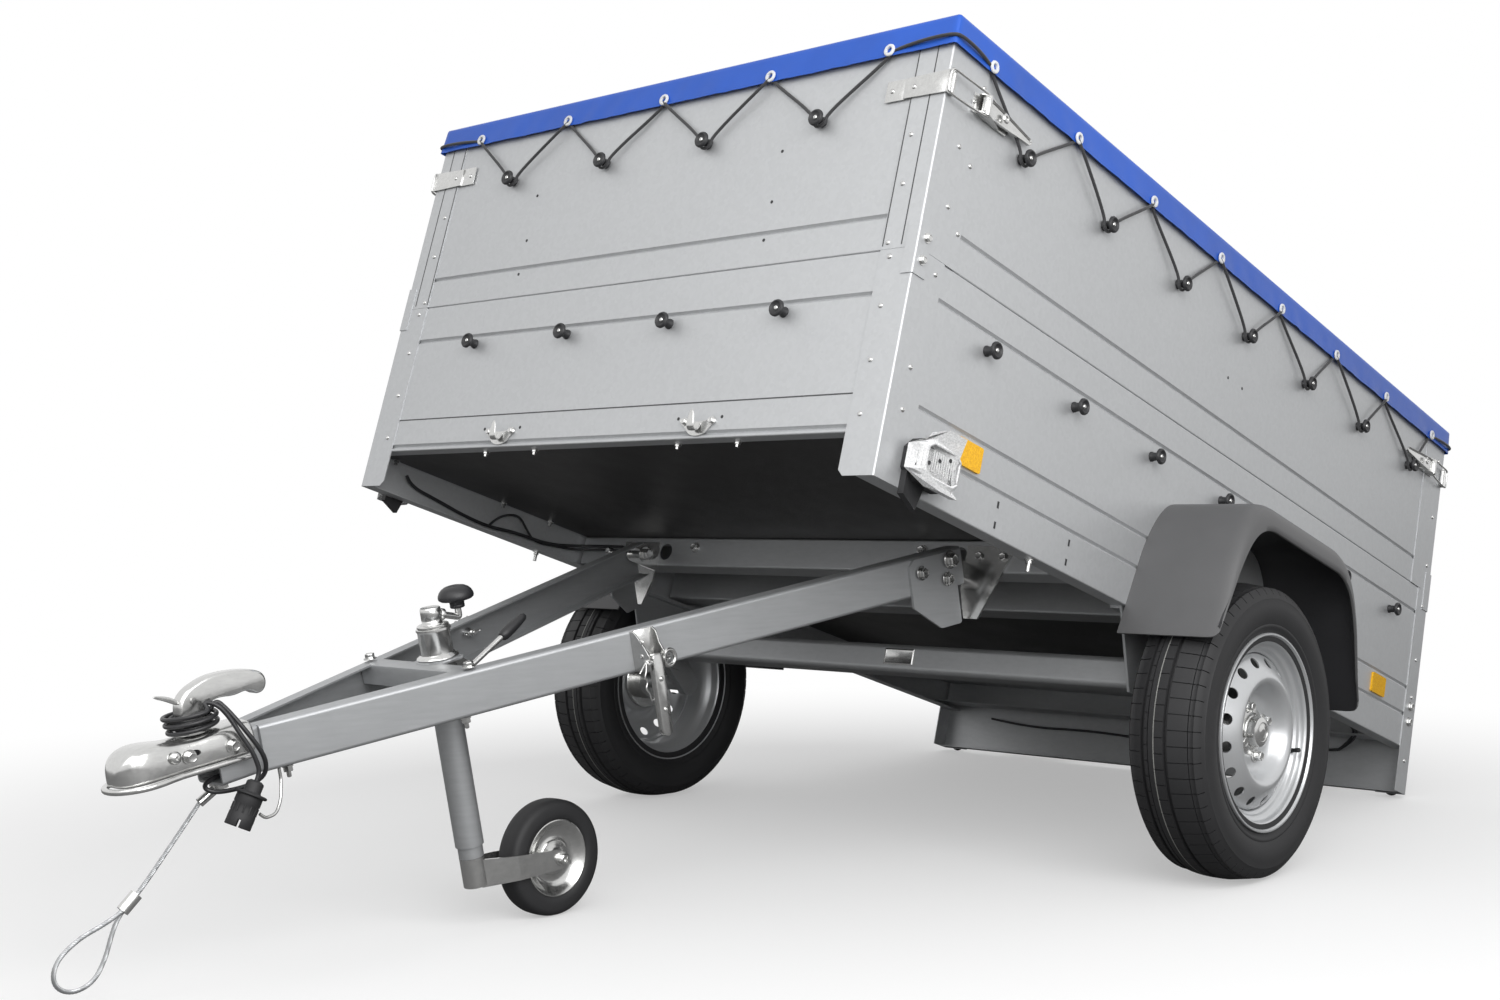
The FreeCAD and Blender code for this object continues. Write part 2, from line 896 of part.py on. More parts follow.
def corner_latch(height):
    """Toggle latch round a front corner: strap on the front, base and lever on the side."""
    half = bed_width / 2
    low = height - latch_width / 2
    high = height + latch_width / 2
    strap_path = [(-latch_fold, half + latch_strap_thickness),
                  (latch_strap_thickness, half + latch_strap_thickness),
                  (latch_strap_thickness, half - latch_strap)]
    strap = along_w(sheet_outline(strap_path, -latch_strap_thickness), low, high)
    base_rear = -latch_base_from - latch_base_length
    outer = half + latch_base_thickness
    base = block(Vector(base_rear, half, low), Vector(-latch_base_from, outer, high))
    cheek = block(Vector(-latch_base_from - latch_cheek, outer, low + latch_wire),
                  Vector(-latch_base_from, outer + latch_lever_rise, high - latch_wire))
    lever_top = outer + latch_lever_rise
    lever_end = -latch_lever_start - latch_lever_length
    lever = block(Vector(lever_end, lever_top - latch_lever_thickness, height - latch_lever_width / 2),
                  Vector(-latch_base_from, lever_top, height + latch_lever_width / 2))
    body = strap.fuse(base).fuse(cheek).fuse(lever)
    hook_v = half + latch_strap_thickness + latch_wire / 2
    for w in (low + latch_wire, high - latch_wire):
        body = body.fuse(rod(Vector(-latch_fold / 2, hook_v, w),
                             Vector(-latch_base_from - latch_cheek / 2, outer + latch_wire, w), latch_wire))
    roll = rod(Vector(-latch_fold / 2, hook_v, low), Vector(-latch_fold / 2, hook_v, high), latch_wire)
    return [body.fuse(roll).removeSplitter()]


def corner_latches():
    front = corner_latch(upper_latch_w)
    rear = [to_rear(shape) for shape in corner_latch(upper_latch_w)]
    return both_sides(front + rear)


def axle_beam():
    half = axle_tube / 2
    corners = [Vector(axle_u - half, 0, axle_w - half), Vector(axle_u + half, 0, axle_w - half),
               Vector(axle_u + half, 0, axle_w + half), Vector(axle_u - half, 0, axle_w + half)]
    wire = rounded_wire(corners, [axle_corner] * len(corners))
    tube = Part.Face(wire).extrude(Vector(0, 2 * axle_plate_v, 0))
    return [moved(tube, Vector(0, -axle_plate_v, 0))]


def axle_plates():
    """Bracket between each rail and the axle's end, with a flange under the rail."""
    ahead = axle_u - wheel_u + axle_tube
    outline = [(axle_u + ahead, 0), (axle_u + axle_plate_foot_front, -axle_plate_drop),
               (axle_u - axle_plate_foot_rear, -axle_plate_drop), (axle_u - ahead, 0)]
    plate = along_v(outline, axle_plate_v, axle_plate_v + axle_plate_thickness)
    flange = block(Vector(axle_u - ahead, side_face - rail_flange, -axle_plate_thickness),
                   Vector(axle_u + ahead, axle_plate_v, 0))
    return both_sides([plate.fuse(flange).removeSplitter()])


def wheel_centre():
    return Vector(wheel_u, wheel_v, wheel_w)


def axle_arms():
    """Trailing arms from the axle's ends to the wheel stubs."""
    start = axle_plate_v + axle_plate_thickness
    top = Vector(axle_u, start, axle_w)
    end = Vector(wheel_u, start, wheel_w)
    thickness = Vector(0, axle_arm_thickness, 0)
    arm = rod(top, top + thickness, axle_arm_radius)
    arm = arm.fuse(rod(end, end + thickness, axle_arm_end_radius))
    along = (end - top).normalize()
    side = along.cross(Vector(0, 1, 0))
    top_side = side * axle_arm_radius * axle_arm_side_share
    end_side = side * axle_arm_end_radius * axle_arm_side_share
    corners = [top + top_side, end + end_side, end - end_side, top - top_side]
    arm = arm.fuse(polygon_face(corners).extrude(thickness))
    stub_end = hub_face() - running_gap
    arm = arm.fuse(rod(end, Vector(wheel_u, stub_end, wheel_w), stub_radius))
    return both_sides([arm.removeSplitter()])


def hub_face():
    """Outer face of the hub flange, where the wheel disc is bolted."""
    return wheel_v + disc_offset


def tyre():
    half = tyre_width / 2
    bead = rim_width / 2 - rim_wall
    crown = wheel_radius
    tread_half = half * tread_share
    outer = [(rim_seat_radius, -bead), (rim_flange_radius + rim_lip, -bead - rim_wall)]
    outer += [(crown * radius_share, -half * width_share) for radius_share, width_share in tyre_side_shares]
    outer.append((crown - tread_edge_drop, -tread_half))
    for share in tread_groove_shares:
        place = share * tread_half
        depth = crown - tread_groove_depth
        outer += [(crown, place - tread_groove_width / 2), (depth, place - tread_groove_floor / 2),
                  (depth, place + tread_groove_floor / 2), (crown, place + tread_groove_width / 2)]
    outer.append((crown - tread_edge_drop, tread_half))
    side_points = len(tyre_side_shares) + 2
    outer += [(radius, -place) for radius, place in outer[side_points - 1::-1]]
    shoulder = crown - tyre_tread_wall - tyre_wall
    inner_half = half * tyre_hollow_share
    inner = [(rim_seat_radius, bead - tyre_wall), (crown * tyre_waist_share, half - tyre_wall),
             (shoulder, inner_half), (crown - tyre_tread_wall, 0), (shoulder, -inner_half),
             (crown * tyre_waist_share, -half + tyre_wall), (rim_seat_radius, -bead + tyre_wall)]
    return [revolved(outer + inner, wheel_centre(), Vector(0, 1, 0), Vector(0, 0, 1))]


def rim():
    centre = wheel_centre()
    half = rim_width / 2
    well = rim_well_radius
    seat = rim_seat_radius - running_gap
    path = [(rim_flange_radius, half + rim_lip), (rim_flange_radius, half), (seat, half - rim_wall),
            (seat, rim_seat_inside), (well, rim_well_front), (well, rim_well_rear), (seat, -rim_seat_inside),
            (seat, -half + rim_wall), (rim_flange_radius, -half), (rim_flange_radius, -half - rim_lip)]
    barrel_outline = sheet_outline([(place, radius) for radius, place in path], rim_wall)
    barrel = revolved([(radius, place) for place, radius in barrel_outline], centre,
                      Vector(0, 1, 0), Vector(0, 0, 1))
    face = disc_offset
    ridge = face + disc_ridge_height
    ridge_outer = disc_ridge_radius + disc_ridge_width / 2
    ridge_inner = disc_ridge_radius - disc_ridge_width / 2
    disc_path = [(well - rim_wall, disc_root_start), (well - rim_wall, disc_root_end),
                 (disc_knee_radius, face + disc_knee_height), (vent_circle_radius, face + disc_vent_height),
                 (ridge_outer, ridge), (ridge_inner, ridge), (disc_bowl_radius, face + disc_bowl_height),
                 (disc_hub_radius, face), (disc_bore_radius, face)]
    disc_outline = sheet_outline([(place, radius) for radius, place in disc_path], rim_wall)
    disc = revolved([(radius, place) for place, radius in disc_outline], centre,
                    Vector(0, 1, 0), Vector(0, 0, 1))
    wheel = barrel.fuse(disc)
    for index in range(vent_count):
        hole = vent_cutter()
        hole.rotate(Vector(), Vector(0, 1, 0), full_turn * index / vent_count)
        hole.translate(centre)
        wheel = wheel.cut(hole)
    return [wheel]


def vent_cutter():
    """Oval hole through the disc, its long way round the wheel."""
    reach = rim_width
    shapes = []
    for side in (-1, 1):
        start = Vector(side * vent_length / 2, 0, vent_circle_radius)
        shapes.append(Part.makeCylinder(vent_radius, reach, start, Vector(0, 1, 0)))
    middle = block(Vector(-vent_length / 2, 0, vent_circle_radius - vent_radius),
                   Vector(vent_length / 2, reach, vent_circle_radius + vent_radius))
    return shapes[0].fuse(shapes[1]).fuse(middle).removeSplitter()


def hub():
    """Hub drum behind the disc, with the wheel bolts and the dust cap in front."""
    centre = wheel_centre()
    face = disc_offset
    bore = stub_radius + running_gap
    profile = [(bore, face - hub_length), (hub_radius, face - hub_length), (hub_radius, face - hub_flange),
               (hub_flange_radius, face - hub_flange), (hub_flange_radius, face), (bore, face)]
    drum = revolved(profile, centre, Vector(0, 1, 0), Vector(0, 0, 1))
    front = face + rim_wall
    spigot = disc_bore_radius - running_gap
    cap = [(0, face), (spigot, face), (spigot, front), (hub_cap_radius, front),
           (hub_cap_radius, front + hub_cap_height), (0, front + hub_cap_height)]
    rounding = [0, 0, 0, 0, hub_cap_corner, 0]
    solid = drum.fuse(revolved(cap, centre, Vector(0, 1, 0), Vector(0, 0, 1), rounding))
    for index in range(bolt_count):
        angle = math.tau * index / bolt_count + math.pi / bolt_count
        across = Vector(math.cos(angle), 0, math.sin(angle)) * bolt_circle_radius
        place = centre + across + Vector(0, front, 0)
        head = Part.makeCone(bolt_seat_radius, bolt_radius, bolt_height / 2, place, Vector(0, 1, 0))
        upper = place + Vector(0, bolt_height / 2, 0)
        nose = Part.makeCylinder(bolt_radius, bolt_height / 2, upper, Vector(0, 1, 0))
        bolt = head.fuse(nose)
        solid = Part.makeCompound([solid, bolt])
    return list(solid.Solids)


def guard_profile(half_bottom, half_shoulder, half_crown, half_top, shoulder, crown, top):
    """Upper outline of a mudguard section, from its front foot to its rear foot."""
    front = [(half_bottom, guard_bottom), (half_shoulder, shoulder), (half_crown, crown), (half_top, top)]
    rear = [(-u, w) for u, w in front[::-1]]
    return [(guard_u + u, w) for u, w in front + rear]


def guard_wire(profile, v, foot, radius):
    """Closed wire of a mudguard section, its feet lengthened downwards by a foot."""
    lengthened = list(profile)
    for index, neighbour in ((0, 1), (-1, -2)):
        start = profile[index]
        other = profile[neighbour]
        share = foot / (other[1] - start[1])
        lengthened[index] = (start[0] - (other[0] - start[0]) * share, start[1] - foot)
    points = [Vector(u, v, w) for u, w in lengthened]
    radii = [0] + [radius] * (len(points) - 2) + [0]
    return rounded_wire(points, radii)


def mix_profiles(first, second, share):
    return [(a[0] + (b[0] - a[0]) * share, a[1] + (b[1] - a[1]) * share) for a, b in zip(first, second)]


def inset_profile(profile, wall):
    return sheet_outline(profile, wall)[len(profile):][::-1]


def mudguard():
    body = guard_profile(guard_half_bottom, guard_half_shoulder, guard_half_crown, guard_half_top,
                         guard_shoulder, guard_crown, guard_top)
    mouth = guard_profile(guard_mouth_half_bottom, guard_mouth_half_shoulder, guard_mouth_half_crown,
                          guard_mouth_half_top, guard_mouth_shoulder, guard_mouth_crown, guard_mouth_top)
    edge = mix_profiles(body, mouth, guard_edge_share)
    start = side_face
    end = start + guard_width
    knee = end - guard_edge
    turn = end - guard_turn
    radius = guard_radius
    outer = Part.makeLoft([guard_wire(body, start, 0, radius), guard_wire(body, knee, 0, radius),
                           guard_wire(edge, turn, 0, radius), guard_wire(mouth, end, 0, radius)], True, True)
    wall = guard_wall
    small = radius - wall
    body_inner = inset_profile(body, wall)
    edge_inner = inset_profile(edge, wall)
    mouth_inner = inset_profile(mouth, wall)
    past = Part.makeLoft([guard_wire(body_inner, start + wall, overrun, small),
                          guard_wire(body_inner, knee - wall / 2, overrun, small),
                          guard_wire(edge_inner, turn - wall, overrun, small),
                          guard_wire(mouth_inner, end - wall / 2, overrun, small),
                          guard_wire(mouth_inner, end + overrun, overrun, small)], True, True)
    return [outer.cut(past)]


def ear_face():
    """Outer v of the hinge ear, which lies inside the bar's channel."""
    return bar_half_span - bar_wall - bar_taper * ear_radius - ear_gap


def hinge_brackets():
    """Triangular plate on the crossbeam with an ear that reaches forward to the pivot."""
    outer = ear_face()
    inner = outer - ear_thickness
    top = floor_bottom - bracket_top_margin
    face = crossbeam_u
    plate_points = [Vector(face, inner, top), Vector(face, inner + bracket_width, top),
                    Vector(face, inner + bracket_tip_inset + bracket_tip_width, bracket_tip_w),
                    Vector(face, inner + bracket_tip_inset, bracket_tip_w),
                    Vector(face, inner, bracket_root_w)]
    plate = polygon_face(plate_points).extrude(Vector(bracket_thickness, 0, 0))
    centre = Vector(pivot_u, inner, pivot_w)
    ear = Part.makeCylinder(ear_radius, ear_thickness, centre, Vector(0, 1, 0))
    link = block(Vector(face, inner, pivot_w - ear_radius), Vector(pivot_u, outer, pivot_w + ear_radius))
    through = Vector(0, ear_thickness, 0)
    hole = rod(centre - through, centre + through + through, pivot_bolt_radius + running_gap)
    bracket = plate.fuse(ear).fuse(link).removeSplitter().cut(hole)
    return both_sides([bracket])


def bar_edge(d):
    """Outer v of a bar at a distance along the drawbar."""
    return bar_half_span - bar_taper * d


def along_bar(outline, start, end, radii):
    """Prism of a section given as (distance inward from the bar's face, h)."""
    face_v = bar_edge(start)
    points = [Vector(start, face_v - inward, h) for inward, h in outline]
    run = end - start
    return outline_face(points, radii).extrude(Vector(run, -bar_taper * run, 0))


def drawbar_bar():
    """Channel open to the inside, its nose cut along the middle of the trailer."""
    bottom = bar_top - bar_height
    path = [(bar_flange, bar_top), (0, bar_top), (0, bottom), (bar_flange, bottom)]
    bends = outside_bends(path, bar_wall, bar_bend)
    bar = along_bar(sheet_outline(path, bar_wall), bar_start, bar_end, bends)
    half = block(Vector(bar_start - overrun, bar_mid_gap, bottom - overrun),
                 Vector(bar_end + overrun, bar_half_span + overrun, bar_top + overrun))
    bar = bar.common(half)
    return bar.cut(pivot_hole())


def pivot_hole():
    start = Vector(0, bar_half_span - bar_flange, 0)
    return Part.makeCylinder(pivot_bolt_radius + running_gap, 2 * bar_flange, start, Vector(0, 1, 0))


def end_plate():
    """Plate on the outside of a bar's rear end, with the tilt stop's foot."""
    outline = [(end_plate_rear, end_plate_top), (end_plate_front - end_plate_cut, end_plate_top),
               (end_plate_front, end_plate_top - end_plate_cut), (end_plate_front, -end_plate_knee),
               (end_plate_foot, -end_plate_drop), (end_plate_rear, -end_plate_drop)]
    points = [Vector(d, bar_edge(d), h) for d, h in outline]
    radii = [end_plate_corner] * len(points)
    plate = outline_face(points, radii).extrude(Vector(0, end_plate_thickness, 0))
    return plate.cut(pivot_hole())


def pivot_bolt():
    outside = bar_half_span + end_plate_thickness + bar_taper * pivot_head_radius
    inside = ear_face() - ear_thickness - running_gap
    shank = rod(Vector(0, inside, 0), Vector(0, outside, 0), pivot_bolt_radius)
    head = rod(Vector(0, outside, 0), Vector(0, outside + pivot_head_height, 0), pivot_head_radius)
    nut = rod(Vector(0, inside - pivot_head_height, 0), Vector(0, inside, 0), pivot_head_radius)
    return shank.fuse(head).fuse(nut).removeSplitter()


def cross_plate():
    """Plate between the bars that carries the jockey wheel's clamp."""
    start = jockey_d - cross_plate_length / 2
    end = jockey_d + cross_plate_length / 2
    bottom = bar_top
    outline = [(start, bar_edge(start)), (end, bar_edge(end)),
               (end, -bar_edge(end)), (start, -bar_edge(start))]
    plate = along_w(outline, bottom, bottom + cross_plate_thickness)
    hole = rod(Vector(jockey_d, 0, bottom - overrun), Vector(jockey_d, 0, bottom + overrun),
               jockey_collar_radius)
    return [plate.cut(hole)]


def ring_solid(outer, inner, start, end):
    return rod(start, end, outer).cut(rod(start, end, inner))


def clamp_lever_ends():
    """Root and tip of the lever that locks the jockey tube."""
    root = Vector(jockey_d - clamp_root_reach, 0, clamp_root_h)
    return root, Vector(jockey_d - clamp_lever_reach, 0, clamp_root_h + clamp_lever_rise)


def grip_start():
    root, tip = clamp_lever_ends()
    return tip - (tip - root).normalize() * clamp_grip_length


def jockey_clamp():
    """Split collar round the jockey tube with its locking screw and lever."""
    low = Vector(jockey_d, 0, clamp_root_h - jockey_collar_radius / 2)
    high = Vector(jockey_d, 0, jockey_collar_top)
    collar = ring_solid(jockey_collar_radius, jockey_tube_radius, low, high)
    root = clamp_lever_ends()[0]
    screw = rod(Vector(jockey_d, 0, clamp_root_h), root, clamp_screw_radius)
    screw = screw.cut(rod(low, high, jockey_tube_radius + clamp_screw_gap))
    lever = rod(root, grip_start(), clamp_lever_radius)
    joint = Part.makeSphere(clamp_joint_radius, root)
    return [collar.fuse(screw).fuse(joint).fuse(lever).removeSplitter()]


def jockey_grips():
    """Plastic grip of the clamp lever and knob of the crank."""
    grip = rod(grip_start(), clamp_lever_ends()[1], clamp_grip_radius)
    return [grip, crank_knob()]


def jockey_outer_tube():
    low = Vector(jockey_d, 0, jockey_tube_bottom)
    high = Vector(jockey_d, 0, jockey_tube_top)
    return [ring_solid(jockey_tube_radius, jockey_tube_radius - jockey_tube_wall, low, high)]


def jockey_crank():
    """Cap on the spindle with its crank arm and mushroom knob."""
    base = Vector(jockey_d, 0, jockey_tube_top)
    cap = rod(base, Vector(jockey_d, 0, crank_cap_top), crank_cap_radius)
    cap = cap.fuse(rod(base, base + Vector(0, 0, jockey_tube_wall), jockey_tube_radius))
    hub_point = Vector(jockey_d, 0, crank_arm_h)
    elbow = hub_point + Vector(-crank_reach, 0, 0)
    arm = rod(hub_point, elbow, crank_rod_radius)
    post = rod(elbow, elbow + Vector(0, 0, crank_rise), crank_rod_radius)
    solid = cap.fuse(arm).fuse(post).fuse(Part.makeSphere(crank_rod_radius, elbow))
    return [solid.removeSplitter()]


def crank_knob():
    base = Vector(jockey_d - crank_reach, 0, crank_arm_h + crank_rise)
    height = crank_knob_height
    profile = [(crank_knob_radius * wide_share, height * high_share)
               for wide_share, high_share in crank_knob_shares]
    profile = [(0, 0)] + profile + [(0, height)]
    return revolved(profile, base, Vector(0, 0, 1), Vector(0, 1, 0))


jockey_slide_bottom = jockey_tube_bottom - jockey_slide_show


def jockey_slide():
    low = Vector(jockey_d, 0, jockey_slide_bottom)
    high = Vector(jockey_d, 0, jockey_slide_bottom + jockey_slide_inside)
    return [ring_solid(jockey_slide_radius, jockey_slide_radius - jockey_slide_wall, low, high)]


def jockey_fork_drop():
    """Depth of the jockey axle below the crown's top, so that its wheel stands on the floor."""
    slope = math.radians(drawbar_angle - bed_angle)
    target = jockey_wheel_radius
    hub_d = jockey_d - jockey_fork_reach
    pivot = pivot_in_floor_frame()
    needed_h = (target - pivot.z + hub_d * math.sin(slope)) / math.cos(slope)
    return jockey_slide_bottom - needed_h


def jockey_fork():
    """Crown under the slide with two arms to the wheel's axle."""
    top = jockey_slide_bottom - running_gap
    low = Vector(jockey_d, 0, top - jockey_crown_height)
    crown = rod(low, Vector(jockey_d, 0, top), jockey_slide_radius)
    spigot_end = Vector(jockey_d, 0, top + jockey_spigot_length)
    spigot = rod(Vector(jockey_d, 0, top), spigot_end, jockey_spigot_radius)
    solid = crown.fuse(spigot)
    inner = jockey_wheel_width / 2 + jockey_fork_clearance
    hub_d = jockey_d - jockey_fork_reach
    hub_h = jockey_slide_bottom - jockey_fork_drop()
    rise = jockey_fork_height / 2
    crown_middle = top - jockey_crown_height / 2
    outer = inner + jockey_fork_thickness
    for side in (1, -1):
        near = side * inner
        far = side * outer
        start_v = side * jockey_fork_root
        bend_d = jockey_d - jockey_fork_bend
        plan = [(jockey_d, start_v), (bend_d, near), (hub_d - rise, near), (hub_d - rise, far), (bend_d, far),
                (jockey_d, start_v + side * jockey_fork_thickness)]
        points = [Vector(d, v, 0) for d, v in plan]
        tall = polygon_face(points).extrude(Vector(0, 0, 2 * overrun + jockey_crown_height * 2))
        tall = moved(tall, Vector(0, 0, crown_middle - jockey_crown_height - overrun))
        outline = [(jockey_d + jockey_slide_radius, top - jockey_crown_height), (hub_d, hub_h - rise),
                   (hub_d - rise, hub_h), (hub_d, hub_h + rise), (jockey_d + jockey_slide_radius, top)]
        side_view = along_v(outline, -outer - overrun, outer + overrun)
        arm = tall.common(side_view)
        solid = solid.fuse(arm)
    pin_end = outer + jockey_pin_end
    pin = rod(Vector(hub_d, -pin_end, hub_h), Vector(hub_d, pin_end, hub_h), jockey_axle_radius)
    return [solid.fuse(pin).removeSplitter()]


def jockey_hub_place():
    return Vector(jockey_d - jockey_fork_reach, 0, jockey_slide_bottom - jockey_fork_drop())


def jockey_tyre():
    half = jockey_wheel_width / 2
    half_profile = [(jockey_rim_radius, -half * jockey_rim_share)]
    half_profile += [(jockey_wheel_radius * radius_share, -half * width_share)
                     for radius_share, width_share in jockey_tread_shares]
    profile = half_profile + [(radius, -place) for radius, place in half_profile[::-1]]
    return [revolved(profile, jockey_hub_place(), Vector(0, 1, 0), Vector(0, 0, 1))]


def jockey_rim():
    """Two pressed discs on a hub tube."""
    half = jockey_wheel_width / 2
    bore = jockey_axle_radius + running_gap
    hub_half = half * jockey_hub_share
    half_profile = [(bore, hub_half), (jockey_hub_radius, hub_half)]
    half_profile += [(jockey_rim_radius * radius_share, half * width_share)
                     for radius_share, width_share in jockey_disc_shares]
    profile = half_profile + [(radius, -place) for radius, place in half_profile[::-1]]
    return [revolved(profile, jockey_hub_place(), Vector(0, 1, 0), Vector(0, 0, 1))]


def bar_nose():
    """Square tube that joins the bars' front ends and carries the coupling."""
    half = nose_half_width
    bottom = bar_top - bar_height
    outline = [(-half, bottom), (half, bottom), (half, bar_top), (-half, bar_top)]
    outside = along_u(outline, bar_end, nose_end, [bar_bend] * len(outline))
    inside = block(Vector(bar_end, nose_wall - half, bottom + nose_wall),
                   Vector(nose_end, half - nose_wall, bar_top - nose_wall))
    return [outside.cut(inside)]


def head_section(d, half, top, shoulder):
    """Arched section of the coupling head at a distance along it."""
    low = coupling_lip_h
    points = [Vector(d, -half, low), Vector(d, half, low), Vector(d, half, top), Vector(d, -half, top)]
    return rounded_wire(points, [0, 0, shoulder, shoulder])


def coupling_head():
    """Pressed head: domed nose over the ball, a waist behind it, sides along the bars, flared lip."""
    lip = coupling_lip_h
    half = coupling_half_width
    rear = coupling_rear
    radius = coupling_head_radius
    nose = revolved([(0, lip), (radius, lip), (radius, coupling_top), (0, coupling_top)],
                    Vector(ball_d, 0, 0), Vector(0, 0, 1), Vector(0, 1, 0), [0, 0, coupling_dome, 0])
    sections = [head_section(rear, half, coupling_roof, coupling_shoulder),
                head_section(coupling_neck_d, coupling_waist, coupling_roof, coupling_shoulder),
                head_section(ball_d, radius, coupling_top, coupling_dome)]
    body = Part.makeLoft(sections, True, True)
    rim_plate = rod(Vector(ball_d, 0, lip), Vector(ball_d, 0, lip + coupling_lip_thickness),
                    coupling_head_radius + coupling_lip)
    side_lip = block(Vector(rear, -half - coupling_lip, lip),
                     Vector(ball_d, half + coupling_lip, lip + coupling_lip_thickness))
    solid = nose.fuse(body).fuse(rim_plate).fuse(side_lip).removeSplitter()
    socket_top = Vector(ball_d, 0, lip + ball_socket_depth)
    socket = rod(Vector(ball_d, 0, lip - overrun), socket_top, ball_radius)
    dome = Part.makeSphere(ball_radius, socket_top)
    solid = solid.cut(socket).cut(dome)
    hollow = block(Vector(rear - overrun, -half + coupling_wall, lip - overrun),
                   Vector(ball_d - ball_radius - coupling_socket_wall, half - coupling_wall,
                          bar_top + running_gap))
    return [solid.cut(hollow)]


def coupling_handle():
    """Cast grip handle on its post over the head."""
    width = handle_width / 2
    outline = [(handle_pivot_d + handle_post_front, coupling_roof)]
    outline += [(handle_pivot_d + ahead, handle_pivot_h + rise) for ahead, rise in handle_corners]
    outline.append((handle_pivot_d + handle_post_rear, coupling_roof))
    return [along_v(outline, -width, width, [0] + list(handle_radii) + [0])]


def bar_latch():
    """Latch on a bar's outer face: bracket with two ears, hanging arm and eye."""
    half = bar_latch_width / 2
    plate = bar_latch_plate
    low = bar_latch_d - half
    high = bar_latch_d + half
    back = bar_edge(low) + plate
    ear = bar_edge(bar_latch_d) + bar_latch_ear
    bottom = bar_latch_top - bar_latch_drop
    plan = [(low, bar_edge(low)), (high, bar_edge(high)), (high, ear), (high - plate, ear),
            (high - plate, back), (low + plate, back), (low + plate, ear), (low, ear)]
    bracket = along_w(plan, bottom, bar_latch_top)
    pin_h = bottom + bar_latch_arm_depth
    pin_v = ear - bar_latch_arm_depth / 2
    arm_half = bar_latch_arm_width / 2
    arm = block(Vector(bar_latch_d - arm_half, ear - bar_latch_arm_depth, pin_h - bar_latch_arm_length),
                Vector(bar_latch_d + arm_half, ear, pin_h + bar_latch_arm_depth))
    pin_start = Vector(low - bar_latch_eye_wire, pin_v, pin_h)
    pin = rod(pin_start, Vector(high, pin_v, pin_h), bar_latch_pin_radius)
    eye = Part.makeTorus(bar_latch_eye_radius, bar_latch_eye_wire,
                         Vector(low - bar_latch_eye_radius, pin_v, pin_h), Vector(0, 1, 0))
    return bracket.fuse(arm).fuse(pin).fuse(eye).removeSplitter()


def tube_along(points, radius):
    """Round tube along straight runs joined by tangent arcs, with its bend radii."""
    edges = []
    bends = []
    start = points[0]
    for before, corner, after in zip(points, points[1:], points[2:]):
        into = corner - before
        out = after - corner
        turn = into.getAngle(out)
        shorter = min(into.Length, out.Length)
        reach = bend_share * shorter
        bend = reach / math.tan(turn / 2)
        bends.append(bend)
        into.normalize()
        out.normalize()
        entry = corner - into * reach
        leave = corner + out * reach
        inward = (out - into).normalize()
        middle = corner + inward * (bend / math.cos(turn / 2) - bend)
        edges.append(Part.LineSegment(start, entry).toShape())
        edges.append(Part.Arc(entry, middle, leave).toShape())
        start = leave
    edges.append(Part.LineSegment(start, points[-1]).toShape())
    path = Part.Wire(edges)
    first = (points[1] - points[0]).normalize()
    ring = Part.Wire([Part.Circle(points[0], first, radius).toShape()])
    tube = path.makePipeShell([ring], True, False)
    expected = math.pi * radius ** 2 * path.Length
    print("tube length %.1f mm, volume share %.4f, bends %s" %
          (path.Length, tube.Volume / expected, " ".join("%.0f" % bend for bend in bends)))
    return tube


bend_share = 0.45


def points_from(rows):
    return [Vector(*row) for row in rows]


lead_feed_points = [(1272, 8, -42), (1297, 10, -43), (1310, 20, -49), (1300, 29, -58), (1268, 29, -64),
                    (1240, 34, -64), (1223, 46, -54), (1223, 56, -32), (1232, 58, -8), (1243, 54, 16),
                    (1252, 46, 38), (1259, 33, 58), (1266, 22, 72), (1279, 19, 78), (1279, 19, 62)]
lead_tail_points = [(1289, 25, 62), (1289, 25, 76), (1275, 39, 69), (1264, 46, 48), (1257, 54, 22),
                    (1248, 61, -4), (1243, 63, -24), (1241, 63, -43), (1249, 62, -54)]
plug_holder_points = [(1195, 40, -53.2), (1195, 40, -72), (1208, 50, -98), (1224, 57, -113), (1244, 60, -112),
                      (1252, 60, -103)]
cable_points = [(1299, -20, -79), (1350, -33, -130), (1402, -46, -181), (1432, -50, -202), (1464, -52, -211),
                (1502, -54, -217), (1540, -57, -237), (1549, -60, -269), (1526, -62, -292), (1490, -62, -290),
                (1466, -61, -263), (1451, -59, -232), (1436, -57, -208), (1414, -57, -193)]
loop_centre = (1500, -58, -252)
cable_root = (1270, -14, -64)
loop_start = 3


def plug_holder():
    """Bent wire under the bar's nose that holds the plug."""
    rows = plug_holder_points
    return [tube_along(points_from(rows), holder_wire)]


def lead_feed():
    """Lead from inside the nose to the coil, past the plug."""
    return [tube_along(points_from(lead_feed_points), lead_radius)]


def lead_tail():
    return [tube_along(points_from(lead_tail_points), lead_radius)]


def lead_coil():
    """Turns of the lead round the handle's post, as one ring."""
    centre = Vector(handle_pivot_d + coil_shift, 0, coupling_roof)
    ring = ring_solid(coil_radius + coil_thickness / 2, coil_radius - coil_thickness / 2,
                      centre, centre + Vector(0, 0, coil_height))
    return [ring]


def safety_cable():
    return [tube_along(points_from(cable_points), cable_radius)]


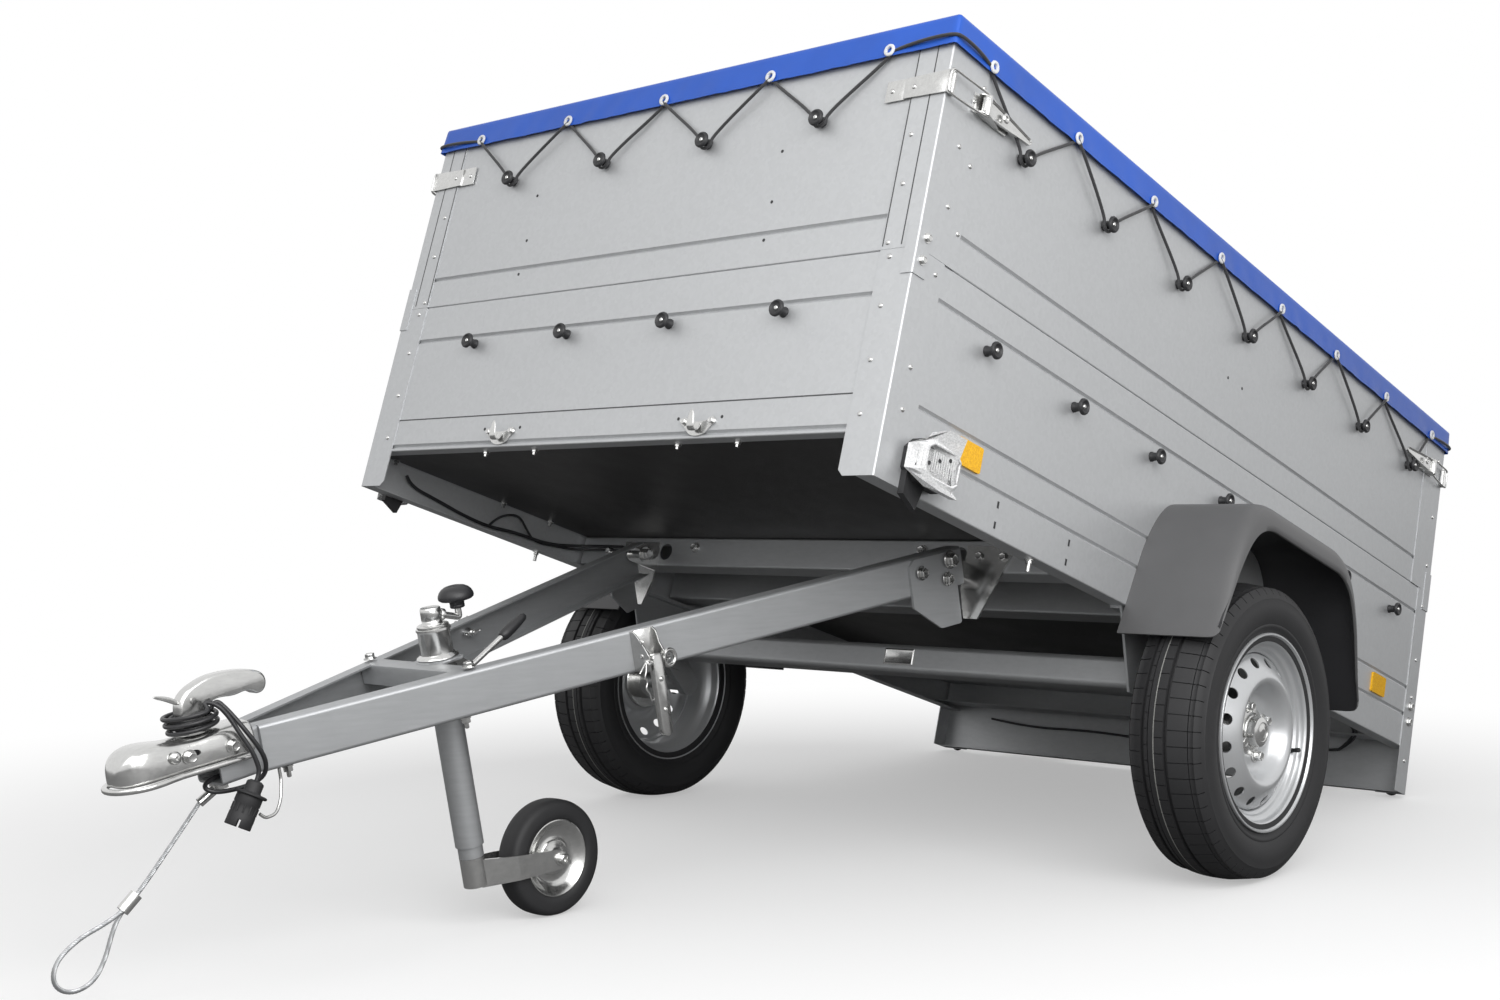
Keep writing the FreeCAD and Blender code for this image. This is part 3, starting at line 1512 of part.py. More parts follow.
def cable_ferrules():
    """Pressed sleeves of the safety cable: one at its lug under the nose, one at the loop."""
    cable = safety_cable()[0]
    first = Vector(*cable_points[0])
    root = Vector(*cable_root)
    sleeve = rod(root, first, ferrule_radius)
    under = bar_top - bar_height
    lug = block(Vector(root.x - ferrule_lug, root.y - ferrule_radius, under - ferrule_lug),
                Vector(root.x + ferrule_radius, root.y + ferrule_radius, under))
    before, closing = points_from(cable_points[loop_start - 1:loop_start + 1])
    last = Vector(*cable_points[-1])
    along = (closing - before).normalize() * ferrule_length
    middle = (closing + last) / 2
    sleeve_end = middle + along * loop_sleeve_share
    second = rod(sleeve_end - along, sleeve_end, loop_sleeve_radius)
    return [sleeve.fuse(lug).removeSplitter().cut(cable), second.cut(cable)]


def plug_axis():
    before, top = points_from(lead_tail_points[-2:])
    return (top - before).normalize()


def plug():
    top = Vector(*lead_tail_points[-1])
    axis = plug_axis()
    across = axis.cross(Vector(0, 1, 0)).normalize()
    neck = plug_neck_radius
    flange_end = plug_neck_length + plug_flange
    profile = [(0, 0), (neck, 0), (neck, plug_neck_length), (plug_flange_radius, plug_neck_length),
               (plug_flange_radius, flange_end), (plug_radius, flange_end),
               (plug_radius, plug_length), (0, plug_length)]
    return [revolved(profile, top, axis, across)]


def drawbar_latches():
    return both_sides([bar_latch()])


def bar_end_plates():
    return both_sides([end_plate()])


def pivot_bolts():
    return both_sides([pivot_bolt()])


def find_bed_angle():
    """Angle at which the bed rests on its wheels and its rear buffers."""
    centre = buffer_place()
    back = centre.x - wheel_u
    up = centre.z - wheel_w
    reach = math.hypot(back, up)
    return math.degrees(math.atan2(back, up) + math.acos((buffer_radius - wheel_radius) / reach))


bed_angle = find_bed_angle()


def bed_to_floor(point):
    """A bed-frame point over the floor, with the wheel centre above x = 0."""
    angle = math.radians(bed_angle)
    u = point.x - wheel_u
    w = point.z - wheel_w
    return Vector(u * math.cos(angle) - w * math.sin(angle), point.y,
                  u * math.sin(angle) + w * math.cos(angle) + wheel_radius)


def pivot_in_floor_frame():
    return bed_to_floor(Vector(pivot_u, 0, pivot_w))


bed_place = Placement(bed_to_floor(Vector()), Rotation(Vector(0, 1, 0), -bed_angle))
drawbar_place = Placement(pivot_in_floor_frame(), Rotation(Vector(0, 1, 0), drawbar_angle - bed_angle))

bed_nodes = {
    "side_board_left": side_board(),
    "side_board_right": [mirrored(shape) for shape in side_board()],
    "front_board": front_board(),
    "upper_side_board_left": upper_side_board(),
    "upper_side_board_right": [mirrored(shape) for shape in upper_side_board()],
    "upper_end_boards": upper_front_board() + upper_rear_board(),
    "corner_posts_lower": corner_posts_lower(),
    "corner_posts_upper": corner_posts_upper(),
    "seam_plates": seam_plates(),
    "floor_panel": floor_panel(),
    "crossbeams": crossbeams(),
    "rear_lamp_board": rear_lamp_board(),
    "tail_lamps": tail_lamps(),
    "rear_buffers": rear_buffers(),
    "tailgate_hinge_seats": tailgate_hinge_seats(),
    "cover": cover(),
    "lashing_knobs": lashing_knobs(),
    "marker_holders": marker_holders(),
    "marker_lamps": marker_lamps(),
    "side_reflectors": side_reflectors(),
    "front_hooks": front_hooks(),
    "corner_latches": corner_latches(),
    "axle_beam": axle_beam(),
    "axle_plates": axle_plates(),
    "axle_arms": axle_arms(),
    "mudguards": both_sides(mudguard()),
    "hinge_brackets": hinge_brackets(),
    "tailgate": tailgate(),
    "tailgate_hinges": tailgate_hinges(),
    "tailgate_knobs": tailgate_knobs(),
    "tyre_left": tyre(),
    "rim_left": rim(),
    "hub_left": hub(),
    "tyre_right": [mirrored(shape) for shape in tyre()],
    "rim_right": [mirrored(shape) for shape in rim()],
    "hub_right": [mirrored(shape) for shape in hub()],
}

drawbar_nodes = {
    "drawbar_left": [drawbar_bar()],
    "drawbar_right": [mirrored(drawbar_bar())],
    "bar_end_plates": bar_end_plates(),
    "pivot_bolts": pivot_bolts(),
    "cross_plate": cross_plate(),
    "jockey_clamp": jockey_clamp(),
    "jockey_outer_tube": jockey_outer_tube(),
    "jockey_crank": jockey_crank(),
    "jockey_grips": jockey_grips(),
    "jockey_slide": jockey_slide(),
    "jockey_fork": jockey_fork(),
    "jockey_rim": jockey_rim(),
    "jockey_tyre": jockey_tyre(),
    "bar_nose": bar_nose(),
    "coupling_head": coupling_head(),
    "coupling_handle": coupling_handle(),
    "drawbar_latches": drawbar_latches(),
    "plug_holder": plug_holder(),
    "plug": plug(),
    "lead_feed": lead_feed(),
    "lead_coil": lead_coil(),
    "lead_tail": lead_tail(),
    "safety_cable": safety_cable(),
    "cable_ferrules": cable_ferrules(),
}

cord_nodes = ("lead_feed", "lead_coil", "lead_tail", "plug", "safety_cable", "cable_ferrules")


def placed(shapes, place):
    compound = Part.makeCompound(shapes)
    compound.Placement = place.multiply(compound.Placement)
    return compound


nodes = {name: placed(shapes, bed_place) for name, shapes in bed_nodes.items()}
nodes.update({name: placed(shapes, drawbar_place) for name, shapes in drawbar_nodes.items()})

whole = FreeCAD.BoundBox()
for name, shape in nodes.items():
    if name not in cord_nodes:
        whole.add(shape.optimalBoundingBox(False))
origin_shift = Vector(-whole.Center.x, -whole.Center.y, -whole.ZMin)

os.makedirs("parts", exist_ok=True)
for name, shape in nodes.items():
    shape.translate(origin_shift)
    shape.exportStep("parts/" + name + ".step")
    print(name, len(shape.Solids), shape.isValid(), round(shape.Volume / 1000.0))
print("bed angle", round(bed_angle, 2), "shift", origin_shift)
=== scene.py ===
"""Finish and small pieces of a tilting utility trailer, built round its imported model."""
import json
import math
import random
import bmesh
import bpy
from bpy.props import FloatProperty, FloatVectorProperty, IntProperty, PointerProperty
from bpy.types import Operator, Panel, PropertyGroup
from mathutils import Matrix, Vector


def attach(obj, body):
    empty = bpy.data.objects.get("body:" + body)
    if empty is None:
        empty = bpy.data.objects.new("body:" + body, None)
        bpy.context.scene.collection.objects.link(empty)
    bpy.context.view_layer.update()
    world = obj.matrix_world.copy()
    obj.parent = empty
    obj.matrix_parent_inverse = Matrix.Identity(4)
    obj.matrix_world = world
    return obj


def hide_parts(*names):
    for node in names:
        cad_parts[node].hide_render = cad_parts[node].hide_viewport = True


bl_info = {
    "name": "Utility Trailer Finish",
    "version": (1, 0, 0),
    "blender": (4, 5, 0),
    "location": "View3D > Sidebar > Trailer",
    "description": "Materials, cover, lashing, treads, lamps and small hardware of a utility trailer",
    "category": "Object",
}

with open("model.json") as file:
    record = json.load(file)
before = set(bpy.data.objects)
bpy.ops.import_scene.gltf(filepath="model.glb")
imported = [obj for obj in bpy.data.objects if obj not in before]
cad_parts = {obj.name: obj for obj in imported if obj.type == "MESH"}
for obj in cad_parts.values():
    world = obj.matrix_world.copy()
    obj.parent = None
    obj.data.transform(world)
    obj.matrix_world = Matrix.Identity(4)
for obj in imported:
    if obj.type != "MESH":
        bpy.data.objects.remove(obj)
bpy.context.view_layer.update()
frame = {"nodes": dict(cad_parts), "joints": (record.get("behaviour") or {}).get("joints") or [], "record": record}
joints = {joint["name"]: joint for joint in frame["joints"]}
mm = 0.001

# The tilt hinge, from which the bed's and the drawbar's own frames are measured
pivot = Vector(joints["tilt"]["pos_m"])
pivot_u = -533 * mm
pivot_w = 14 * mm
bar_slope = math.asin(-joints["jockey_height"]["axis"][0])
bed_slope = math.radians(joints["tilt"]["range_deg"][1]) - bar_slope

# Sizes of the bed that its small pieces are set against
bed_length = 2095 * mm
half_width = 657.5 * mm
boards_top = 782.5 * mm


def bed_matrix():
    """From the bed's frame (u forward, v left, w up) to the part's."""
    turn = Matrix.Rotation(-bed_slope, 4, "Y")
    return Matrix.Translation(pivot) @ turn @ Matrix.Translation((-pivot_u, 0, -pivot_w))


def bar_matrix():
    """From the drawbar's frame (d forward, v left, h up) to the part's."""
    return Matrix.Translation(pivot) @ Matrix.Rotation(bar_slope, 4, "Y")


def bar_points(rows):
    """Points given in the drawbar's frame in millimetres, in the part's frame in metres."""
    place = bar_matrix()
    return [place @ (Vector(row) * mm) for row in rows]


# Settings


def colour_setting(name, description, default):
    return FloatVectorProperty(name=name, description=description, subtype="COLOR", default=default, size=3,
            min=0, max=1)


def length_setting(name, description, default, low, high):
    return FloatProperty(name=name, description=description, unit="LENGTH", default=default, min=low, max=high)


def count_setting(name, description, default, low, high):
    return IntProperty(name=name, description=description, default=default, min=low, max=high)


def power_setting(name, description, default):
    return FloatProperty(name=name, description=description, unit="POWER", default=default, min=0)


class TrailerColours(PropertyGroup):
    board: colour_setting("Board sheet", "Satin galvanised sheet of the boards", (0.53, 0.54, 0.55))
    frame_steel: colour_setting("Frame steel", "Hot-dip galvanised frame", (0.46, 0.47, 0.48))
    zinc: colour_setting("Zinc", "Bright zinc plate of the fittings", (0.68, 0.68, 0.67))
    cover: colour_setting("Cover", "Coated cloth of the flat cover", (0.02, 0.10, 0.50))
    amber: colour_setting("Amber", "Side reflectors", (1.0, 0.46, 0.01))


class TrailerWheels(PropertyGroup):
    groove_depth: length_setting("Groove depth", "Depth of the two main grooves of the tread", 0.006, 0.001,
            0.009)
    tyre_steps: count_setting("Tyre steps", "Steps in which the tyre is turned", 240, 96, 360)
    sipe_every: count_setting("Sipe spacing", "Steps from one cross cut of the tread to the next", 4, 3, 12)
    vents: count_setting("Vents", "Oval holes of the wheel disc", 16, 8, 24)


class TrailerCover(PropertyGroup):
    skirt: length_setting("Skirt", "Height of the cover's skirt", 0.054, 0.02, 0.12)
    sag: length_setting("Sag", "How far the middle of the cover hangs", 0.014, 0, 0.05)
    cord: length_setting("Lashing cord", "Diameter of the elastic cord", 0.006, 0.003, 0.01)


class TrailerCords(PropertyGroup):
    lead: length_setting("Lead", "Diameter of the lighting lead", 0.007, 0.004, 0.012)
    turns: FloatProperty(name="Turns", description="Turns of the lead round the handle", default=5.0, min=2,
            max=6)
    cable: length_setting("Safety cable", "Diameter of the safety cable", 0.007, 0.004, 0.01)
    strands: count_setting("Strands", "Strands laid round the cable's core", 6, 5, 8)
    strand_pitch: length_setting("Strand pitch", "Length in which a strand goes once round", 0.03, 0.01, 0.1)


class TrailerStage(PropertyGroup):
    lens: FloatProperty(name="Lens", description="Focal length of the camera on a 36 mm wide frame",
            default=43.86, min=10, max=200)
    world_light: FloatProperty(name="World light", description="Strength of the even light from all round",
            default=0.46, min=0, max=2)
    key_light: power_setting("Key light", "Power of the large lamp on the near side", 120.0)
    fill_light: power_setting("Fill light", "Power of the lamp ahead of the trailer", 52.0)
    floor_size: FloatProperty(name="Floor", description="Width of the floor", unit="LENGTH", default=60.0,
            min=1)


# Shader helpers


class Finish:
    """A node material with one Principled shader, built up by named steps."""

    def __init__(self, name, colour, roughness, metallic=0.0):
        self.material = bpy.data.materials.new(name)
        self.material.use_nodes = True
        self.nodes = self.material.node_tree.nodes
        self.links = self.material.node_tree.links
        self.shader = self.nodes["Principled BSDF"]
        self.place = self.nodes.new("ShaderNodeTexCoord").outputs["Object"]
        self.colour = tuple(colour) + (1.0,)
        self.shader.inputs["Base Color"].default_value = self.colour
        self.shader.inputs["Roughness"].default_value = roughness
        self.shader.inputs["Metallic"].default_value = metallic

    def add(self, kind, **values):
        node = self.nodes.new(kind)
        for key, value in values.items():
            if key in node.inputs:
                node.inputs[key].default_value = value
            else:
                setattr(node, key, value)
        return node

    def mapped(self, scale=(1, 1, 1), turn=(0, 0, 0)):
        node = self.add("ShaderNodeMapping")
        node.inputs["Scale"].default_value = scale
        node.inputs["Rotation"].default_value = turn
        self.links.new(self.place, node.inputs["Vector"])
        return node.outputs["Vector"]

    def noise(self, scale, detail=3.0, roughness=0.5, vector=None):
        node = self.add("ShaderNodeTexNoise", Scale=scale, Detail=detail, Roughness=roughness)
        self.links.new(vector or self.place, node.inputs["Vector"])
        return node.outputs["Fac"]

    def cells(self, scale, output="Color", vector=None):
        node = self.add("ShaderNodeTexVoronoi", Scale=scale)
        self.links.new(vector or self.place, node.inputs["Vector"])
        return node.outputs[output]

    def math(self, operation, first, second=0.5):
        node = self.add("ShaderNodeMath", operation=operation)
        for index, value in enumerate((first, second)):
            if isinstance(value, (int, float)):
                node.inputs[index].default_value = value
            else:
                self.links.new(value, node.inputs[index])
        return node.outputs["Value"]

    def mix(self, factor, first, second):
        node = self.add("ShaderNodeMix", data_type="RGBA")
        for socket, value in zip((node.inputs[0], node.inputs[6], node.inputs[7]), (factor, first, second)):
            if isinstance(value, (int, float)):
                socket.default_value = value if socket == node.inputs[0] else (value, value, value, 1)
            elif isinstance(value, (tuple, list)):
                socket.default_value = (tuple(value) + (1,))[:4]
            else:
                self.links.new(value, socket)
        return node.outputs[2]

    def tone(self, value, low, high):
        """Base colour between a darker and a brighter share of the finish's own colour."""
        dark = tuple(part * low for part in self.colour[:3])
        bright = tuple(min(part * high, 1) for part in self.colour[:3])
        self.links.new(self.mix(value, dark, bright), self.shader.inputs["Base Color"])

    def rough(self, value, low, high):
        span = self.add("ShaderNodeMapRange")
        span.inputs["To Min"].default_value = low
        span.inputs["To Max"].default_value = high
        self.links.new(value, span.inputs["Value"])
        self.links.new(span.outputs["Result"], self.shader.inputs["Roughness"])

    def bump(self, value, distance, strength=1.0):
        node = self.add("ShaderNodeBump", Strength=strength, Distance=distance)
        self.links.new(value, node.inputs["Height"])
        before = self.shader.inputs["Normal"]
        if before.is_linked:
            self.links.new(before.links[0].from_socket, node.inputs["Normal"])
        self.links.new(node.outputs["Normal"], self.shader.inputs["Normal"])


def colours():
    return bpy.context.scene.trailer_colours


def board_finish():
    """Satin coated sheet: fine spangle, faint rolling lines and shallow waves."""
    finish = Finish("galvanised_board", colours().board, 0.48, 0.60)
    spangle = finish.cells(150.0)
    rolled = finish.noise(6.0, 4.0, 0.6, finish.mapped((0.35, 8, 8)))
    broad = finish.noise(1.6, 2.0)
    worn = finish.mix(0.35, spangle, rolled)
    finish.tone(finish.mix(0.45, worn, broad), 0.90, 1.08)
    finish.rough(rolled, 0.42, 0.56)
    finish.bump(finish.noise(2.2, 1.0), 0.0016, 0.5)
    finish.bump(spangle, 0.00008, 0.35)
    return finish.material


def frame_finish():
    """Dull hot-dip coat with cloudy patches, runs and small pimples."""
    finish = Finish("galvanised_frame", colours().frame_steel, 0.48, 0.62)
    clouds = finish.noise(9.0, 6.0, 0.62)
    spangle = finish.cells(70.0)
    drawn_lines = finish.noise(5.0, 5.0, 0.6, finish.mapped((1, 9, 30)))
    finish.tone(finish.mix(0.75, finish.mix(0.25, clouds, spangle), drawn_lines), 0.72, 0.98)
    finish.rough(clouds, 0.38, 0.56)
    finish.bump(finish.noise(140.0, 3.0), 0.0002, 0.35)
    finish.bump(finish.noise(12.0, 2.0), 0.0009, 0.35)
    return finish.material


def zinc_finish():
    """Bright zinc plate with faint streaks and handling marks."""
    finish = Finish("zinc", colours().zinc, 0.22, 0.94)
    streaks = finish.noise(30.0, 4.0, 0.6, finish.mapped((1, 5, 5)))
    marks = finish.noise(75.0, 5.0, 0.7)
    finish.tone(finish.mix(0.5, streaks, marks), 0.70, 1.12)
    finish.rough(marks, 0.10, 0.32)
    finish.bump(finish.noise(55.0, 2.0), 0.0005, 0.4)
    return finish.material


def silver_finish():
    """Silver lacquer of the road wheels."""
    finish = Finish("wheel_silver", (0.56, 0.57, 0.58), 0.32, 0.55)
    finish.shader.inputs["Coat Weight"].default_value = 0.25
    finish.shader.inputs["Coat Roughness"].default_value = 0.15
    flake = finish.noise(900.0, 1.0)
    dust = finish.noise(14.0, 5.0, 0.65)
    finish.tone(finish.mix(0.5, flake, dust), 0.86, 1.08)
    finish.rough(dust, 0.26, 0.42)
    finish.bump(finish.noise(220.0, 2.0), 0.00006, 0.4)
    return finish.material


def film_finish():
    """Phenol film on the plywood floor, with its fine wire-mesh print."""
    finish = Finish("plywood_film", (0.012, 0.011, 0.011), 0.42)
    mesh = finish.cells(260.0, "Distance", vector=finish.mapped((1, 1, 0.2)))
    scuff = finish.noise(7.0, 6.0, 0.7)
    finish.tone(scuff, 0.6, 1.9)
    finish.rough(scuff, 0.34, 0.56)
    finish.bump(mesh, 0.0003, 0.4)
    return finish.material


def moulded_finish(name, colour, roughness, grain):
    """Matt moulded plastic with a fine leather grain."""
    finish = Finish(name, colour, roughness)
    pores = finish.cells(grain, "Distance")
    haze = finish.noise(8.0, 4.0)
    finish.tone(haze, 0.82, 1.22)
    finish.rough(haze, roughness - 0.06, roughness + 0.08)
    finish.bump(pores, 0.00018, 0.5)
    return finish.material


def rubber_finish(name, colour):
    """Black rubber with a dusty bloom and fine moulding grain."""
    finish = Finish(name, colour, 0.62)
    dust = finish.noise(11.0, 7.0, 0.7)
    finish.tone(dust, 0.65, 1.9)
    finish.rough(dust, 0.52, 0.76)
    finish.bump(finish.noise(420.0, 3.0), 0.00015, 0.5)
    return finish.material


def lens_finish(name, colour, transmission):
    """Moulded lens with prism squares behind a glossy face."""
    finish = Finish(name, colour, 0.14)
    finish.shader.inputs["Transmission Weight"].default_value = transmission
    finish.shader.inputs["Specular IOR Level"].default_value = 0.25
    prisms = finish.cells(330.0, "Distance", vector=finish.mapped((1, 1, 1), (0, bed_slope, 0)))
    finish.tone(prisms, 0.72, 1.25)
    finish.bump(prisms, 0.0005, 0.45)
    return finish.material


def cover_finish():
    """Coated cloth: woven scrim under a soft plastic skin, its colour lighter and darker in random clouds."""
    finish = Finish("cover_fabric", colours().cover, 0.38)
    finish.shader.inputs["Specular IOR Level"].default_value = 0.32
    finish.shader.inputs["Coat Weight"].default_value = 0.12
    finish.shader.inputs["Coat Roughness"].default_value = 0.22
    warp = finish.add("ShaderNodeTexWave", Scale=210.0, bands_direction="X")
    weft = finish.add("ShaderNodeTexWave", Scale=210.0, bands_direction="Y")
    for wave in (warp, weft):
        finish.links.new(finish.place, wave.inputs["Vector"])
    weave = finish.math("MAXIMUM", warp.outputs["Fac"], weft.outputs["Fac"])
    clouds = finish.noise(5.0, 6.0, 0.6)
    finish.tone(clouds, 0.78, 1.30)
    finish.rough(clouds, 0.30, 0.50)
    finish.bump(weave, 0.00012, 0.4)
    finish.bump(finish.noise(16.0, 4.0), 0.0012, 0.5)
    return finish.material


def cord_finish():
    """Braided sheath of the elastic cord."""
    finish = Finish("cord_black", (0.02, 0.02, 0.022), 0.7)
    finish.shader.inputs["Sheen Weight"].default_value = 0.25
    braid = finish.cells(900.0, "Distance", vector=finish.mapped((1, 1, 1), (0.6, 0.6, 0)))
    finish.tone(braid, 0.6, 1.8)
    finish.bump(braid, 0.0004, 0.7)
    return finish.material


def cable_finish():
    """Galvanised strands seen through a clear plastic skin."""
    finish = Finish("cable_steel", (0.50, 0.51, 0.52), 0.32, 0.7)
    finish.shader.inputs["Coat Weight"].default_value = 0.5
    finish.shader.inputs["Coat Roughness"].default_value = 0.22
    finish.tone(finish.noise(160.0, 3.0), 0.7, 1.25)
    finish.bump(finish.noise(700.0, 2.0), 0.0001, 0.4)
    return finish.material


def build_finishes():
    return {
        "galvanised_board": board_finish(),
        "galvanised_frame": frame_finish(),
        "zinc": zinc_finish(),
        "wheel_silver": silver_finish(),
        "plywood_film": film_finish(),
        # Near-black plastic of the knobs and grips, also used as painted shade in holes, slots and the wheel
        # covers' inside.
        "black_plastic": moulded_finish("black_plastic", (0.018, 0.018, 0.02), 0.46, 420.0),
        "guard_plastic": moulded_finish("guard_plastic", (0.090, 0.090, 0.092), 0.50, 300.0),
        "black_rubber": rubber_finish("black_rubber", (0.014, 0.014, 0.015)),
        "tyre_rubber": rubber_finish("tyre_rubber", (0.012, 0.012, 0.013)),
        "cover_fabric": cover_finish(),
        "amber_lens": lens_finish("amber_lens", colours().amber, 0.0),
        "clear_lens": lens_finish("clear_lens", (0.86, 0.87, 0.88), 0.25),
        "red_lens": lens_finish("red_lens", (0.42, 0.008, 0.008), 0.1),
        "tread_line": rubber_finish("tread_line", (0.20, 0.20, 0.19)),
        # Dark grey painted as the thin shadows along seams and folds of the sheet.
        "seam_shadow": moulded_finish("seam_shadow", (0.060, 0.061, 0.063), 0.55, 300.0),
        "eyelet_white": moulded_finish("eyelet_white", (0.72, 0.73, 0.74), 0.34, 900.0),
        "cord_black": cord_finish(),
        "lead_sheath": moulded_finish("lead_sheath", (0.022, 0.022, 0.024), 0.40, 700.0),
        "cable_steel": cable_finish(),
    }


finishes = {}


class TRAILER_OT_finishes(Operator):
    """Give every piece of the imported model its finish"""
    bl_idname = "trailer.finishes"
    bl_label = "Finishes"

    def execute(self, context):
        finishes.update(build_finishes())
        for part in frame["record"]["subparts"]:
            node = frame["nodes"][part["node"]]
            node.data.materials.clear()
            node.data.materials.append(finishes[part["material_slot"]])
        return {"FINISHED"}


# Modelling steps, in millimetres


def clear_choice():
    if bpy.context.object and bpy.context.object.mode != "OBJECT":
        bpy.ops.object.mode_set(mode="OBJECT")
    bpy.ops.object.select_all(action="DESELECT")


def only(*pieces):
    clear_choice()
    for piece in pieces:
        piece.select_set(True)
    bpy.context.view_layer.objects.active = pieces[0]


class Edit:
    """Edit mode on one piece, all of it chosen at first."""

    def __init__(self, piece):
        self.piece = piece

    def __enter__(self):
        only(self.piece)
        bpy.ops.object.mode_set(mode="EDIT")
        bpy.ops.mesh.select_mode(type="VERT")
        bpy.ops.mesh.select_all(action="SELECT")
        return self

    def __exit__(self, *problem):
        bpy.ops.object.mode_set(mode="OBJECT")

    def everything(self):
        bpy.ops.mesh.select_mode(type="VERT")
        bpy.ops.mesh.select_all(action="SELECT")

    def faces(self, test):
        """Choose the faces whose centre, in millimetres, and normal pass the test."""
        bpy.ops.mesh.select_mode(type="FACE")
        bpy.ops.mesh.select_all(action="DESELECT")
        mesh = bmesh.from_edit_mesh(self.piece.data)
        for face in mesh.faces:
            if test(face.calc_center_median() / mm, face.normal):
                face.select_set(True)
        bmesh.update_edit_mesh(self.piece.data)

    def edges(self, test):
        """Choose the edges whose two ends, in millimetres, pass the test."""
        bpy.ops.mesh.select_mode(type="EDGE")
        bpy.ops.mesh.select_all(action="DESELECT")
        mesh = bmesh.from_edit_mesh(self.piece.data)
        for edge in mesh.edges:
            if test(edge.verts[0].co / mm, edge.verts[1].co / mm):
                edge.select_set(True)
        bmesh.update_edit_mesh(self.piece.data)

    def outward(self):
        self.everything()
        bpy.ops.mesh.normals_make_consistent(inside=False)

    def merge(self, distance=0.002):
        """Merge the points that are closer than a distance in millimetres."""
        self.everything()
        bpy.ops.mesh.remove_doubles(threshold=distance * mm)

    def extrude(self, step):
        bpy.ops.mesh.extrude_region_move(TRANSFORM_OT_translate={"value": step})

    def inset(self, width, depth=0.0):
        """Inset the chosen faces by a width in millimetres and move them outwards by the depth."""
        bpy.ops.mesh.inset(thickness=width * mm, depth=depth * mm)


def drawn(name, points, closed=False):
    """A line drawn by extruding one vertex from point to point."""
    clear_choice()
    bpy.ops.mesh.primitive_plane_add(size=mm)
    piece = bpy.context.active_object
    piece.name = name
    points = [Vector(point) * mm for point in points]
    if closed:
        points.append(points[0])
    with Edit(piece) as edit:
        bpy.ops.mesh.merge(type="CENTER")
        bpy.ops.transform.translate(value=points[0])
        for before, after in zip(points, points[1:]):
            edit.extrude(after - before)
        edit.merge()
    return piece


def lathed(name, profile, steps=48, closed=True):
    """A profile of (radius, height) turned about the Z axis."""
    piece = drawn(name, [(radius, 0, height) for radius, height in profile], closed)
    with Edit(piece) as edit:
        bpy.ops.mesh.spin(steps=steps, angle=math.tau, center=(0, 0, 0), axis=(0, 0, 1))
        edit.merge()
        edit.outward()
    return piece


def turning(name, profile, steps):
    """An open profile turned about the Z axis: a solid where it starts and ends on the axis."""
    return lathed(name, profile, steps, closed=False)


def plate(name, outline, thickness, edge=0.0, segments=2):
    """A flat outline in X and Y made a plate of that thickness upwards, with its edges rounded."""
    piece = drawn(name, [(across, up, 0) for across, up in outline], closed=True)
    with Edit(piece) as edit:
        bpy.ops.mesh.edge_face_add()
        edit.extrude((0, 0, thickness * mm))
        edit.outward()
    if edge:
        rounded(piece, edge, segments)
    return piece


def lofted(name, section, stations):
    """A section line of (across, up) shares carried along X through (x, half width, bottom, height)."""
    place, half, low, rise = stations[0]
    piece = drawn(name, [(place, across * half, low + up * rise) for across, up in section])
    with Edit(piece) as edit:
        for before, after in zip(stations, stations[1:]):
            step = Vector((after[0] - before[0], 0, after[2] - before[2])) * mm
            edit.extrude(step)
            bpy.ops.transform.resize(value=(1, after[1] / before[1], after[3] / before[3]),
                    center_override=Vector((after[0], 0, after[2])) * mm)
    return piece


def modified(piece, kind, **values):
    only(piece)
    modifier = piece.modifiers.new(kind.lower(), kind)
    for key, value in values.items():
        setattr(modifier, key, value)
    bpy.ops.object.modifier_apply(modifier=modifier.name)
    return piece


def rounded(piece, width, segments=2, angle=35.0):
    return modified(piece, "BEVEL", width=width * mm, segments=segments, limit_method="ANGLE",
            angle_limit=math.radians(angle), harden_normals=False)


def cut(piece, *cutters):
    for cutter in cutters:
        modified(piece, "BOOLEAN", object=cutter, operation="DIFFERENCE", solver="EXACT")
        bpy.data.objects.remove(cutter)
    return piece


def put(piece, matrix):
    """Set a piece at its place, with the place kept in its mesh."""
    only(piece)
    piece.matrix_world = matrix
    bpy.ops.object.transform_apply(location=True, rotation=True, scale=True)
    if matrix.determinant() < 0:
        with Edit(piece) as edit:
            edit.outward()
    return piece


def copied(piece, matrix):
    copy = piece.copy()
    copy.data = piece.data.copy()
    bpy.context.scene.collection.objects.link(copy)
    return put(copy, matrix)


def spread(name, piece, places):
    """Copies of one piece at all the places, joined; the model itself is used up."""
    pieces = [copied(piece, matrix) for matrix in places]
    bpy.data.objects.remove(piece)
    return joined(name, pieces)


def joined(name, pieces):
    only(*pieces)
    if len(pieces) > 1:
        bpy.ops.object.join()
    piece = bpy.context.active_object
    piece.name = name
    return piece


def linked(name, data):
    piece = bpy.data.objects.new(name, data)
    bpy.context.scene.collection.objects.link(piece)
    return piece


def round_curve(name, radius, sides, steps):
    """An empty curve whose lines become round bars of a radius in metres."""
    curve = bpy.data.curves.new(name, "CURVE")
    curve.dimensions = "3D"
    curve.bevel_depth = radius
    curve.bevel_resolution = sides
    curve.resolution_u = steps
    curve.use_fill_caps = True
    return curve


def smooth_line(curve, points, order=3, cyclic=False):
    """Add a smooth line to a curve; an open one starts and ends at its end points."""
    spline = curve.splines.new("NURBS")
    spline.points.add(len(points) - 1)
    for knot, point in zip(spline.points, points):
        knot.co = (*point, 1)
    spline.use_cyclic_u = cyclic
    spline.use_endpoint_u = not cyclic
    spline.order_u = order


def meshed(name, curve):
    only(linked(name, curve))
    bpy.ops.object.convert(target="MESH")
    return bpy.context.active_object


